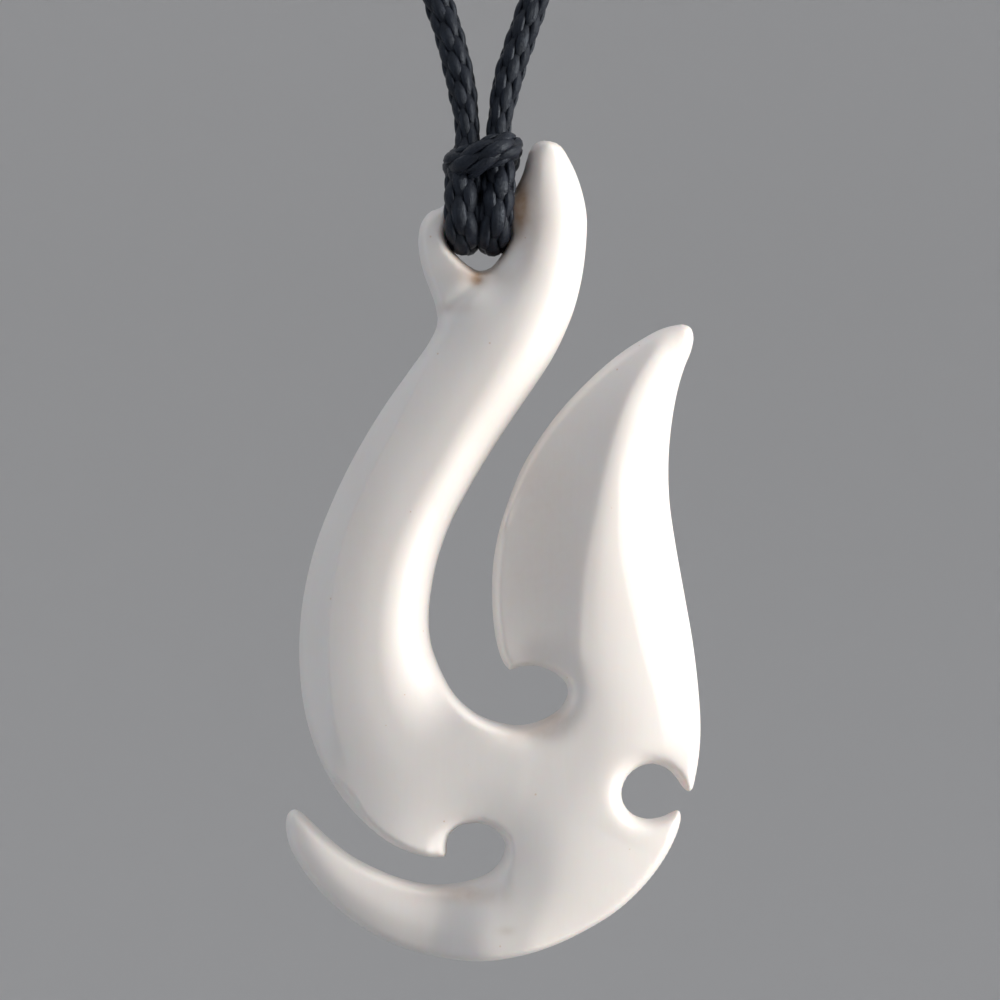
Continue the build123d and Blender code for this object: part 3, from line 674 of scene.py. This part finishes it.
blade_ridge = [
    (0.968, 0.767, 0.34, 0.10, 0.20), (0.939, 0.757, 0.46, 0.18, 0.32), (0.902, 0.747, 0.58, 0.26, 0.44),
    (0.873, 0.729, 0.68, 0.34, 0.54), (0.845, 0.706, 0.77, 0.40, 0.64), (0.823, 0.684, 0.84, 0.45, 0.72),
    (0.804, 0.659, 0.89, 0.48, 0.77), (0.789, 0.635, 0.92, 0.50, 0.80), (0.765, 0.586, 0.96, 0.52, 0.82),
    (0.746, 0.537, 0.98, 0.53, 0.82), (0.729, 0.488, 1.00, 0.54, 0.82), (0.719, 0.440, 1.00, 0.54, 0.82),
    (0.714, 0.391, 1.00, 0.46, 0.82), (0.719, 0.354, 1.00, 0.26, 0.80), (0.731, 0.317, 1.00, 0.06, 0.76),
    (0.729, 0.275, 1.00, 0.00, 0.70), (0.693, 0.234, 1.00, 0.00, 0.62), (0.632, 0.195, 1.00, 0.00, 0.56),
    (0.608, 0.147, 1.00, 0.00, 0.52), (0.608, 0.104, 1.00, 0.00, 0.46), (0.577, 0.063, 1.00, 0.00, 0.30),
    (0.556, 0.030, 1.00, 0.00, 0.14), (0.545, 0.004, 1.00, 0.00, 0.00),
]
tail_ridge = [
    (0.018, 0.174, 0.36, 0.06, 0.08), (0.041, 0.162, 0.44, 0.10, 0.10), (0.064, 0.144, 0.51, 0.14, 0.12),
    (0.096, 0.122, 0.57, 0.16, 0.12), (0.142, 0.098, 0.62, 0.17, 0.12), (0.224, 0.072, 0.65, 0.18, 0.10),
    (0.335, 0.051, 0.67, 0.18, 0.08), (0.420, 0.043, 0.76, 0.16, 0.04), (0.520, 0.036, 1.00, 0.00, 0.00),
]
# Columns: ridge, power of the fall to its left, the same to its right at its start and its end,
# how softly the ridge turns in mm, reach to its left and to its right in mm, share of the ridge
# where it fades into the body, and a ridge whose ground it keeps off.
limbs = [
    (shank_ridge, 1.9, 2.3, 2.3, 0.05, 8.6, 5.8, 0.80, None),
    (prong_ridge, 1.8, 1.8, 1.8, 0.20, 3.2, 2.6, 0.72, None),
    (blade_ridge, 0.9, 1.35, 2.1, 0.40, 7.6, 9.5, 0.95, shank_ridge),
    (tail_ridge, 1.6, 1.6, 1.6, 0.10, 3.8, 3.8, 0.72, None),
]
facet_softness = 0.03 * mm
limb_border = 1.5 * mm
reach_fade = 0.2
ridge_end = 1.0 * mm
end_segments = 5
# Columns: across, up, and how deep the bevel cuts at the edge as a share of the rise.
shank_bevel = [
    (0.405, 0.769, 0.00), (0.333, 0.716, 0.34), (0.268, 0.652, 0.52), (0.198, 0.584, 0.58),
    (0.135, 0.502, 0.58), (0.109, 0.415, 0.56), (0.109, 0.354, 0.46), (0.121, 0.293, 0.24),
    (0.159, 0.232, 0.00),
]
blade_bevel = [
    (0.830, 0.655, 0.00), (0.801, 0.602, 0.12), (0.799, 0.556, 0.16), (0.801, 0.502, 0.16),
    (0.835, 0.419, 0.16), (0.859, 0.369, 0.16), (0.883, 0.330, 0.14), (0.902, 0.281, 0.08),
    (0.912, 0.250, 0.00),
]
# Columns: line, whether it lies to the line's right going down, softness of its arris in mm.
bevels = [
    (shank_bevel, False, 0.06),
    (blade_bevel, True, 0.05),
]
# Columns: across, up, radius of the hole in mm, how far out the scoop stays deepest and over
# what width it then fades in mm, and the share cut.
scoops = [
    (0.585, 0.330, 2.10, 1.9, 1.00, 0.20),
    (0.442, 0.127, 2.05, 0.6, 3.00, 0.22),
    (0.442, 0.127, 2.05, 1.9, 0.45, 0.12),
    (0.875, 0.207, 1.80, 1.5, 0.65, 0.24),
]
crease_ends = [(0.4626, 0.828), (0.372, 0.782)]
crease_depth = 0.16 * mm
crease_width = 0.45 * mm
seat_flat = 1.63 * mm
seat_slope = 2.4
seat_fade = 0.8 * mm
seat_below = -0.1 * mm
seat_softness = 0.1 * mm


# %% Measuring from lines and edges
def segment_distance(points, ends):
    """Distance from each point to a line of ends, and the nearest place's segment and share."""
    best = np.full(len(points), np.inf)
    segment = np.zeros(len(points), dtype=int)
    share = np.zeros(len(points))
    for i in range(len(ends) - 1):
        along = ends[i + 1] - ends[i]
        t = np.clip((points - ends[i]) @ along / (along @ along), 0, 1)
        distance = np.linalg.norm(points - ends[i] - t[:, None] * along, axis=1)
        nearer = distance < best
        best[nearer] = distance[nearer]
        segment[nearer] = i
        share[nearer] = t[nearer]
    return best, segment, share


def nearest_gap(points, spots):
    """Distance from each point to the nearest of the spots."""
    nearest = np.zeros(len(points))
    for start in range(0, len(points), 500):
        part = points[start:start + 500]
        gap = np.linalg.norm(part[:, None, :] - spots[None, :, :], axis=2)
        nearest[start:start + 500] = gap.min(axis=1)
    return nearest


def room_from_edges(points, edge, lengths):
    """Like the distance to the edge, but smooth where two edges are near."""
    room = np.zeros(len(points))
    for start in range(0, len(points), 500):
        part = points[start:start + 500]
        gap = np.linalg.norm(part[:, None, :] - edge[None, :, :], axis=2)
        room[start:start + 500] = np.sqrt(2 / (lengths / np.maximum(gap, 1e-9)**3).sum(axis=1))
    return room


def smooth_step(value):
    """0 below 0, 1 above 1, and a soft rise between."""
    t = np.clip(value, 0, 1)
    return t * t * (3 - 2 * t)


def soft_excess(value, softness):
    """How far a value is above 0, with a soft start."""
    return 0.5 * (value + np.sqrt(value * value + softness * softness))


# %% The height of a face
line_step = 0.25
blend_offset = 0.5
blend_power = 6


def drawn_line(table):
    """A table's line and its values, drawn smoothly through the chosen points."""
    rows = [(*np.array(place(row[0], row[1])) / mm, *row[2:]) for row in table]
    drawn = np.vstack([smooth_run(rows, line_step), rows[-1:]])
    return drawn[:, :2] * mm, drawn[:, 2:]


def blended(points, line, columns):
    """The line's values at each point: all of it counts, its near parts by far the most."""
    here = np.zeros((len(points), columns.shape[1]))
    total = np.zeros(len(points))
    for spot, row in zip(line, columns):
        pull = 1 / (np.linalg.norm(points - spot, axis=1) / mm + blend_offset)**blend_power
        here += pull[:, None] * row
        total += pull
    return here / total[:, None]


def beside_line(points, edge_gap, line, softness):
    """Where each point lies beside a line: nearest place, side, distance and share to the edge."""
    away, segment, share = segment_distance(points, line)
    along = line[segment + 1] - line[segment]
    offset = points - line[segment]
    right_hand = along[:, 1] * offset[:, 0] - along[:, 0] * offset[:, 1] < 0

    eased = np.sqrt(away**2 + softness**2) - softness
    across = eased / (away + edge_gap + 1e-9)
    return segment, share, right_hand, away, across


def cut_to_limb(height, points, edge_gap, limb, rise, plain):
    """Lowers the height to what falls away from a limb's ridge towards the edges."""
    ridge, left_power, right_start, right_end, softness, left_reach, right_reach, fade, neighbour = limb
    line, values = drawn_line(ridge)
    segment, share, right_hand, away, across = beside_line(points, edge_gap, line, softness * mm)
    here = blended(points, line, np.column_stack([values, np.linspace(0, 1, len(line))]))
    travelled = here[:, 3]
    left = here[:, 1] * across**left_power
    right_power = right_start + (right_end - right_start) * smooth_step(travelled)
    right = here[:, 2] * across**right_power
    fall = np.where(right_hand, right, left)
    if plain:
        fall = back_fall * across**2
    facet = rise * (here[:, 0] - fall)
    reach = np.where(right_hand, right_reach, left_reach) * mm
    weight = 1 - smooth_step((away / reach - 1) / reach_fade + 1)
    # A limb that borders on another gives way to it; any other one stops where its ridge ends.
    if neighbour is not None:
        to_neighbour = segment_distance(points, drawn_line(neighbour)[0])[0]
        weight = weight * smooth_step((to_neighbour - away) / limb_border + 0.5)
    weight = weight * (1 - smooth_step((travelled - fade) / (1 - fade)))
    ahead = line[-1] - line[-2]
    past_end = (points - line[-1]) @ ahead / np.linalg.norm(ahead)
    at_end = (segment > len(line) - 1 - end_segments) & (neighbour is None)
    weight = weight * np.where(at_end, 1 - smooth_step(past_end / ridge_end + 0.5), 1)
    return height - weight * soft_excess(height - facet, facet_softness)


def face_height(points, side_gap, room, rise, plain):
    """Height of a face over the bone's middle plane."""
    height = np.full(len(points), rise)
    for limb in limbs:
        height = cut_to_limb(height, points, side_gap, limb, rise, plain)
    if not plain:
        for table, on_right, softness in bevels:
            line, values = drawn_line(table)
            segment, share, right_hand, away, across = beside_line(points, side_gap, line, softness * mm)
            depth = values[segment, 0] * (1 - share) + values[segment + 1, 0] * share
            height = height - rise * np.where(right_hand == on_right, depth * across, 0)
    for across, up, hole, floor_reach, width, share in scoops:
        gap = np.linalg.norm(points - np.array(place(across, up)), axis=1) / mm
        cut = np.exp(-(np.maximum(gap - floor_reach, 0) / width)**2)
        height = height * (1 - share * cut)
    crease = np.array([place(*end) for end in crease_ends])
    gap = segment_distance(points, crease)[0]
    depth = crease_depth * (0.5 if plain else 1)
    height = height - depth * np.exp(-(gap / crease_width)**2)
    near = 1 - np.minimum(room / (back_edge_reach if plain else edge_reach), 1)
    height = height * np.sqrt(1 - near**2)
    sideways = np.abs(points[:, 0] - hole_x)
    above = points[:, 1] - hole_z
    seat = bridge_depth / 2 + seat_slope * soft_excess(sideways - seat_flat, seat_softness)
    below = np.maximum(0, -above - seat_below)
    seat = seat + seat_slope * (below / seat_fade)**2 * seat_fade
    height = height - soft_excess(height - seat, seat_softness)
    return np.maximum(height, thinnest)


# %% [markdown]
# The outline and the heights need a skin. A grid would leave steps along the edge, so rows of
# points follow the rim inwards, closest together where the face rises steeply, and an even
# lattice fills the rest. Delaunay triangles join them. Front and back share the rim's points,
# which closes the bone with no seam.

# %% The bone's points
edge_rows = [row * mm for row in (0.012, 0.045, 0.10, 0.18, 0.28, 0.41)]
lattice_step = 0.185 * mm
lattice_clear = 0.50 * mm
edge_sampling = 0.07 * mm
arris_row = 0.1 * mm
wall_share = 1.15
hole_reach = 2.3 * mm
hole_wall = 0.9 * mm
rows_apart = 0.93
arris_clear = 0.15 * mm


def inside(points, loop):
    """Which points lie inside a closed loop."""
    result = np.zeros(len(points), dtype=bool)
    for (x0, z0), (x1, z1) in zip(loop, np.roll(loop, -1, axis=0)):
        if z0 != z1:
            crosses = (z0 > points[:, 1]) != (z1 > points[:, 1])
            result ^= crosses & (points[:, 0] < x0 + (points[:, 1] - z0) / (z1 - z0) * (x1 - x0))
    return result


def on_bone(points):
    """Which points lie on the bone, seen from the front."""
    return inside(points, outer_rim) & ~inside(points, hole_rim)


def inset(loop, depth):
    """Points of a clockwise loop moved inwards, to the right of its way round."""
    along = np.roll(loop, -1, axis=0) - np.roll(loop, 1, axis=0)
    along = along / np.linalg.norm(along, axis=1)[:, None]
    return loop + depth * np.stack([along[:, 1], -along[:, 0]], axis=1)


def edge_samples():
    """Fine points along all edges, and the length of edge that each stands for."""
    points = []
    lengths = []
    for loop in (outer_outline(edge_sampling), hole_outline(edge_sampling)):
        gaps = np.linalg.norm(np.roll(loop, -1, axis=0) - loop, axis=1)
        points.append(loop)
        lengths.append((gaps + np.roll(gaps, 1)) / 2)
    return np.vstack(points), np.concatenate(lengths)


def side_samples(edge):
    """The edge points of the limbs' sides, and those of the cord hole's right wall."""
    kept = np.ones(len(edge), dtype=bool)
    for across, up, hole, floor_reach, width, share in scoops:
        gap = np.linalg.norm(edge - np.array(place(across, up)), axis=1)
        kept &= gap > wall_share * hole * mm
    by_hole = np.linalg.norm(edge - np.array((hole_x, hole_z)), axis=1) < hole_reach
    on_right = edge[:, 0] > hole_x + hole_wall
    return edge[kept & ~by_hole], edge[by_hole & on_right]


def side_distance(points, sides):
    """How far the limb's side is, and the cord hole's right wall: the two meet smoothly."""
    far = [np.maximum(nearest_gap(points, side) / mm, 0.001) for side in sides]
    return (far[0]**-4 + far[1]**-4)**-0.25 * mm


def arris_points():
    """Rows of points along the bevels' arrises, so that the mesh can turn sharply there."""
    rows = []
    for table, on_right, softness in bevels:
        rows_mm = [np.array(place(row[0], row[1])) / mm for row in table if row[2] > 0.05]
        line = smooth_run(rows_mm, 0.12) * mm
        along = np.gradient(line, axis=0)
        square = np.stack([along[:, 1], -along[:, 0]], axis=1) / np.linalg.norm(along, axis=1)[:, None]
        rows += [line - arris_row * square, line, line + arris_row * square]
    return np.vstack(rows)


def lattice_points():
    """An even lattice of points over the bone's box, in rows like a honeycomb's."""
    low = outer_rim.min(axis=0)
    high = outer_rim.max(axis=0)
    row_gap = lattice_step * math.sqrt(3) / 2
    rows = []
    for j in range(int((high[1] - low[1]) / row_gap) + 1):
        x = np.arange(low[0] + lattice_step * 0.5 * (j % 2), high[0], lattice_step)
        rows.append(np.stack([x, np.full(len(x), low[1] + row_gap * j)], axis=1))
    points = np.vstack(rows)
    return points[on_bone(points)]


edge, edge_lengths = edge_samples()
side_edges = side_samples(edge)
arris = arris_points()
layers = []
for depth in edge_rows:
    row = np.vstack([inset(outer_rim, depth), inset(hole_rim, depth)])
    row = row[on_bone(row)]
    layers.append(row[nearest_gap(row, edge) > rows_apart * depth])
lattice = lattice_points()
clear_of_edge = nearest_gap(lattice, edge) > lattice_clear
clear_of_arris = nearest_gap(lattice, arris) > arris_clear
layers.append(lattice[clear_of_edge & clear_of_arris])
layers.append(arris)
inner_points = np.vstack(layers)
print("points over each face:", len(inner_points))


# %% Where the bone is stained, and where shade is painted on it
# Columns: x and z in mm, reach sideways and up in mm, how much the bone is darkened.
# The first nine rows darken the prong's flank beside the cord, the holes' lower rims and the crease below
# the cord hole. That is painted shade there, with some real staining by the cord. The last two rows are
# painted shade on the blade's and the shank's flanks that turn away from the key light.
stain_and_shade_spots = [
    (2.35, -216.5, 0.50, 1.7, 1.00),
    (2.8, -217.2, 1.1, 2.8, 0.34),
    (-0.25, -221.2, 0.40, 0.35, 0.90),
    (-0.2, -220.9, 1.6, 0.6, 0.40),
    (-1.9, -222.9, 1.5, 0.35, 0.20),
    (4.2, -247.6, 1.3, 0.9, 0.50),
    (3.0, -248.6, 1.8, 0.5, 0.30),
    (-1.0, -258.4, 2.0, 0.5, 0.42),
    (1.55, -260.5, 0.5, 0.25, 0.25),
    (3.6, -236.5, 3.2, 8.0, 0.16),
    (-7.2, -237.0, 1.6, 9.0, 0.07),
]

# The cord hole's lower rim is darkened too: painted shade in its dished edge, with some real staining by
# the cord.
rim_stain_and_shade = 0.65
rim_stain_and_shade_reach = 0.3 * mm


def stain_and_shade_at(points):
    """How dark the bone is at each point: some real staining by the cord, and painted shade beside the
    cord, round the holes' lower rims, along the crease and on the facets turned from the light.
    """
    stain_and_shade_darkness = np.zeros(len(points))
    for x, z, sideways, upwards, amount in stain_and_shade_spots:
        gap = (points - np.array((x, z)) * mm) / (np.array((sideways, upwards)) * mm)
        stain_and_shade_darkness = stain_and_shade_darkness + amount * np.exp(-(gap**2).sum(axis=1))
    rim = nearest_gap(points, hole_rim)
    low = smooth_step((hole_z - points[:, 1]) / mm)
    return np.minimum(stain_and_shade_darkness + rim_stain_and_shade * low * np.exp(-(rim / rim_stain_and_shade_reach)**2), 1)


# %% The bone's mesh
def bone_piece():
    """The carved bone as one closed mesh, front and back over one rim."""
    rims = [outer_rim, hole_rim]
    flat = np.vstack([*rims, inner_points])
    edges = []
    start = 0
    for rim in rims:
        count = len(rim)
        edges += [(start + i, start + (i + 1) % count) for i in range(count)]
        start += count
    places = [Vector(point / mm) for point in flat]
    made = delaunay_2d_cdt(places, edges, [], 0, 1e-7)
    flat = np.array(made[0]) * mm
    triangles = np.array(made[2])
    triangles = triangles[on_bone(flat[triangles].mean(axis=1))]

    gap = side_distance(flat, side_edges)
    room = room_from_edges(flat, edge, edge_lengths)
    front = face_height(flat, gap, room, front_rise, False)
    back = face_height(flat, gap, room, back_rise, True)
    rim_points = start
    front[:rim_points] = 0
    back[:rim_points] = 0

    ahead = flat[triangles[:, 1]] - flat[triangles[:, 0]]
    aside = flat[triangles[:, 2]] - flat[triangles[:, 0]]
    turned = ahead[:, 0] * aside[:, 1] - ahead[:, 1] * aside[:, 0] < 0
    triangles[turned] = triangles[turned][:, ::-1]
    total = len(flat)
    front_points = np.stack([flat[:, 0], bone_middle_y - front, flat[:, 1]], axis=1)
    back_points = np.stack([flat[:, 0], bone_middle_y + back, flat[:, 1]], axis=1)[rim_points:]
    behind = np.where(triangles < rim_points, triangles, triangles + total - rim_points)[:, ::-1]

    mesh = bpy.data.meshes.new("carved_hook")
    mesh.from_pydata(np.vstack([front_points, back_points]).tolist(), [],
                     np.vstack([triangles, behind]).tolist())
    stain_and_shade = np.concatenate([stain_and_shade_at(flat), stain_and_shade_at(flat[rim_points:]) * 0.5]).astype(np.float32)
    mesh.attributes.new("stain_and_shade", "FLOAT", "POINT").data.foreach_set("value", stain_and_shade)
    mesh.shade_smooth()
    piece = bpy.data.objects.new("carved_hook", mesh)
    scene.collection.objects.link(piece)
    return piece


hook = bone_piece()
report(hook)

# %% [markdown]
# Old hands polish bone until it glows: light goes a little way in and comes out warm, so thin edges look
# soft. A plain white paint misses that. The shader lets light scatter under the surface. It paints brown
# into the hollows beside the cord, round the holes' lower rims and onto the facets turned from the key
# light, which is painted shade with some real staining. It also breaks the gloss with grain lines along
# the hook's length and a few fine pores.

# %% A gloss that is never quite even
def uneven_gloss_group():
    """Roughness that drifts between two values, for anything that was polished or handled."""
    tree, given, result = tree_with_inputs("uneven_gloss", "ShaderNodeTree", [
        ("Vector", "NodeSocketVector", None),
        ("Patch size", "NodeSocketFloat", 3 * mm),
        ("Smoothest", "NodeSocketFloat", 0.2),
        ("Roughest", "NodeSocketFloat", 0.3),
    ], [("Roughness", "NodeSocketFloat"), ("Mask", "NodeSocketFloat")])
    w = Wiring(tree)
    spread = w.node("ShaderNodeTexNoise", Vector=given.outputs["Vector"], Detail=3.0, Roughness=0.6,
                    Scale=w.over(1, given.outputs["Patch size"]))
    drift = w.node("ShaderNodeMapRange", Value=spread.outputs["Fac"])
    drift.inputs["From Min"].default_value = 0.3
    drift.inputs["From Max"].default_value = 0.7
    tree.links.new(given.outputs["Smoothest"], drift.inputs["To Min"])
    tree.links.new(given.outputs["Roughest"], drift.inputs["To Max"])
    tree.links.new(drift.outputs["Result"], result.inputs["Roughness"])
    tree.links.new(spread.outputs["Fac"], result.inputs["Mask"])
    return tree


uneven_gloss = uneven_gloss_group()


def placed_group(w, tree, vector, **values):
    """A node group inside a material, with its own values."""
    made = w.tree.nodes.new("ShaderNodeGroup")
    made.node_tree = tree
    w.feed(made.inputs["Vector"], vector)
    for key, value in values.items():
        w.feed(made.inputs[key.replace("_", " ")], value)
    return made


def bumped(w, height, strength, distance):
    """The normal of a surface that stands out where the height is great."""
    made = w.node("ShaderNodeBump", Height=height, Strength=strength)
    made.inputs["Distance"].default_value = distance
    return made.outputs["Normal"]


# %% Polished bone
def bone_material():
    """Ivory-white bone, warm where light sinks in, glossy from polishing."""
    material = bpy.data.materials.new("polished_bone")
    material.use_nodes = True
    tree = material.node_tree
    surface = tree.nodes["Principled BSDF"]
    w = Wiring(tree)
    where = w.node("ShaderNodeTexCoord").outputs["Object"]

    cloud = w.noise(where, 1 / (6 * mm), 3.0)
    tone = w.mixed(cloud, (0.87, 0.825, 0.785, 1), (0.92, 0.885, 0.855, 1))

    # Grain runs up the bone: noise that is squeezed sideways and drawn out upwards.
    drawn = w.node("ShaderNodeMapping", Vector=where)
    drawn.inputs["Scale"].default_value = (1, 1, 0.06)
    grain = w.noise(drawn.outputs["Vector"], 1 / (0.22 * mm), 2.0)

    # Brown for real staining and for painted shade: the mesh carries how much, beside the cord, round the
    # holes' lower rims, along the crease and on the facets turned from the key light.
    patchy = w.plus(0.7, w.times(w.noise(where, 1 / (0.5 * mm), 3.0), 0.6))
    stain_and_shade_darkness = w.times(w.times(w.carried("stain_and_shade"), patchy), 0.8)
    stained_and_shaded = w.mixed(stain_and_shade_darkness, tone, (0.40, 0.235, 0.125, 1))

    # Pores are the few places where a grid of random spots happens to meet the surface.
    spots = w.node("ShaderNodeTexVoronoi", Vector=where)
    spots.inputs["Scale"].default_value = 1 / (1.8 * mm)
    pores = w.math("LESS_THAN", spots.outputs["Distance"], 0.035)
    marks = w.plus(w.times(w.minus(1, grain), 0.12), w.times(pores, 0.9))
    lined = w.mixed(marks, stained_and_shaded, (0.86, 0.76, 0.66, 1), "MULTIPLY")
    tree.links.new(lined, surface.inputs["Base Color"])
    tree.links.new(bumped(w, grain, 0.25, 0.004 * mm), surface.inputs["Normal"])

    gloss = placed_group(w, uneven_gloss, where, Patch_size=2.5 * mm, Smoothest=0.30, Roughest=0.35)
    tree.links.new(gloss.outputs["Roughness"], surface.inputs["Roughness"])
    surface.inputs["IOR"].default_value = 1.54
    surface.inputs["Subsurface Weight"].default_value = 0.4
    surface.inputs["Subsurface Radius"].default_value = (1.0, 0.6, 0.4)
    surface.inputs["Subsurface Scale"].default_value = 0.6 * mm
    return material


hook.data.materials.append(bone_material())


# %% Waxed black braid
def dress_cord(material):
    """Black yarn with a waxy sheen and fine filaments along each yarn."""
    material.use_nodes = True
    tree = material.node_tree
    surface = tree.nodes["Principled BSDF"]
    w = Wiring(tree)
    where = w.node("ShaderNodeTexCoord").outputs["Object"]

    # Filaments run along each yarn: noise on a long thin roll that is the yarn's own surface.
    turn = w.times(w.carried("around"), 2 * math.pi)
    apart = w.times(w.carried("yarn"), 5.1)
    roll = w.node("ShaderNodeCombineXYZ", X=w.math("COSINE", turn), Y=w.math("SINE", turn),
                  Z=w.plus(apart, w.over(w.carried("walked"), 2.2 * mm)))
    filaments = w.noise(roll.outputs["Vector"], 5.0, 3.0, 0.65)
    wax = w.noise(where, 1 / (0.7 * mm), 3.0)
    # Lighter where a yarn rises to a stitch's crown, for wax and wear there, and darker where it dives
    # under its neighbour, which is painted shade in the gaps between stitches.
    crown_wear_and_gap_shade = w.times(w.times(filaments, wax), w.carried("rise"))
    colour = w.mixed(crown_wear_and_gap_shade, (0.0025, 0.0025, 0.005, 1), (0.034, 0.042, 0.062, 1))
    tree.links.new(colour, surface.inputs["Base Color"])

    gloss = placed_group(w, uneven_gloss, where, Patch_size=0.8 * mm, Smoothest=0.31, Roughest=0.48)
    tree.links.new(gloss.outputs["Roughness"], surface.inputs["Roughness"])
    tufts = w.plus(w.times(filaments, 0.5), w.noise(where, 1 / (0.17 * mm), 3.0, 0.6))
    tree.links.new(bumped(w, tufts, 0.8, 0.06 * mm), surface.inputs["Normal"])
    surface.inputs["Specular IOR Level"].default_value = 0.3
    surface.inputs["Specular Tint"].default_value = (0.80, 0.90, 1.0, 1)
    surface.inputs["Sheen Weight"].default_value = 0.02
    surface.inputs["Sheen Roughness"].default_value = 0.45
    surface.inputs["Sheen Tint"].default_value = (0.62, 0.78, 1.0, 1)


dress_cord(cord_material)

# %% [markdown]
# The pendant hangs free, so the floor is far below it. A flat floor and a wall would show a
# line behind the bone and block the view from the back. A wide pale bowl does both jobs: flat
# underneath, rising softly all round, with every light inside it.

# %% Floor
bowl_radius = 3.2
bowl_floor = -1.5
bowl_flat_share = 0.55
bowl_top = 2.2


def bowl():
    """A pale floor that curves up into a round wall."""
    rings = []
    for share in np.linspace(0, 1, 6):
        rings.append((bowl_radius * bowl_flat_share * share, bowl_floor))
    curve_width = bowl_radius * (1 - bowl_flat_share)
    for angle in np.linspace(0, math.pi / 2, 13)[1:]:
        rings.append((bowl_radius * bowl_flat_share + curve_width * math.sin(angle),
                      bowl_floor + curve_width * (1 - math.cos(angle))))
    rings.append((bowl_radius, bowl_top))
    around = 96
    points = [(r * math.cos(a), r * math.sin(a), z)
              for r, z in rings for a in np.linspace(0, 2 * math.pi, around, endpoint=False)]
    faces = []
    for ring in range(len(rings) - 1):
        for i in range(around):
            j = (i + 1) % around
            inner = ring * around
            outer = inner + around
            faces.append((inner + i, inner + j, outer + j, outer + i))
    mesh = bpy.data.meshes.new("pale_floor")
    mesh.from_pydata(points, [], faces)
    mesh.shade_smooth()
    floor = bpy.data.objects.new("pale_floor", mesh)
    scene.collection.objects.link(floor)
    return floor


floor = bowl()
floor_material = bpy.data.materials.new("pale_floor")
floor_material.use_nodes = True
floor_surface = floor_material.node_tree.nodes["Principled BSDF"]
floor_surface.inputs["Base Color"].default_value = (0.68, 0.675, 0.67, 1)
floor_surface.inputs["Roughness"].default_value = 0.9
floor.data.materials.append(floor_material)

# %% [markdown]
# In the photograph a large warm light on the right rakes over the facets, and a weak cool one
# reaches the left. Two soft boxes beside the pendant repeat that, and a quiet sky fills the
# shadows. The boxes are hidden from the camera, so that no view has one in the way.

# %% Lights
def soft_box(name, place_mm, size_mm, power, colour):
    """A soft light that looks at the pendant."""
    light = bpy.data.lights.new(name, "AREA")
    light.shape = "RECTANGLE"
    light.size = size_mm[0] * mm
    light.size_y = size_mm[1] * mm
    light.energy = power
    light.color = colour
    box = bpy.data.objects.new(name, light)
    scene.collection.objects.link(box)
    box.location = Vector(place_mm) * mm
    aim = picture_middle - box.location
    box.rotation_euler = aim.to_track_quat("-Z", "Y").to_euler()
    box.visible_camera = False
    return box


soft_box("key_right", (467, -220, -205), (180, 420), 3.5, (1.0, 0.97, 0.93))
soft_box("fill_left", (-420, -300, -180), (260, 420), 0.28, (0.72, 0.84, 1.0))

world = bpy.data.worlds.new("studio")
scene.world = world
world.use_nodes = True
world.node_tree.nodes["Background"].inputs["Color"].default_value = (0.80, 0.82, 0.86, 1)
world.node_tree.nodes["Background"].inputs["Strength"].default_value = 0.82

# %% [markdown]
# Last, each piece is tied to the body it moves with, and the CAD solid that it stands for is hidden.

# %% Riding on the frame
hides = [(hook, "hook", "bone"), (knot, "nape_knot", "cord")]
hides += [(piece, "neck_cord", "cord") for piece in cord_pieces]
for piece, node, slot in hides:
    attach(piece, "root")
    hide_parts(node)
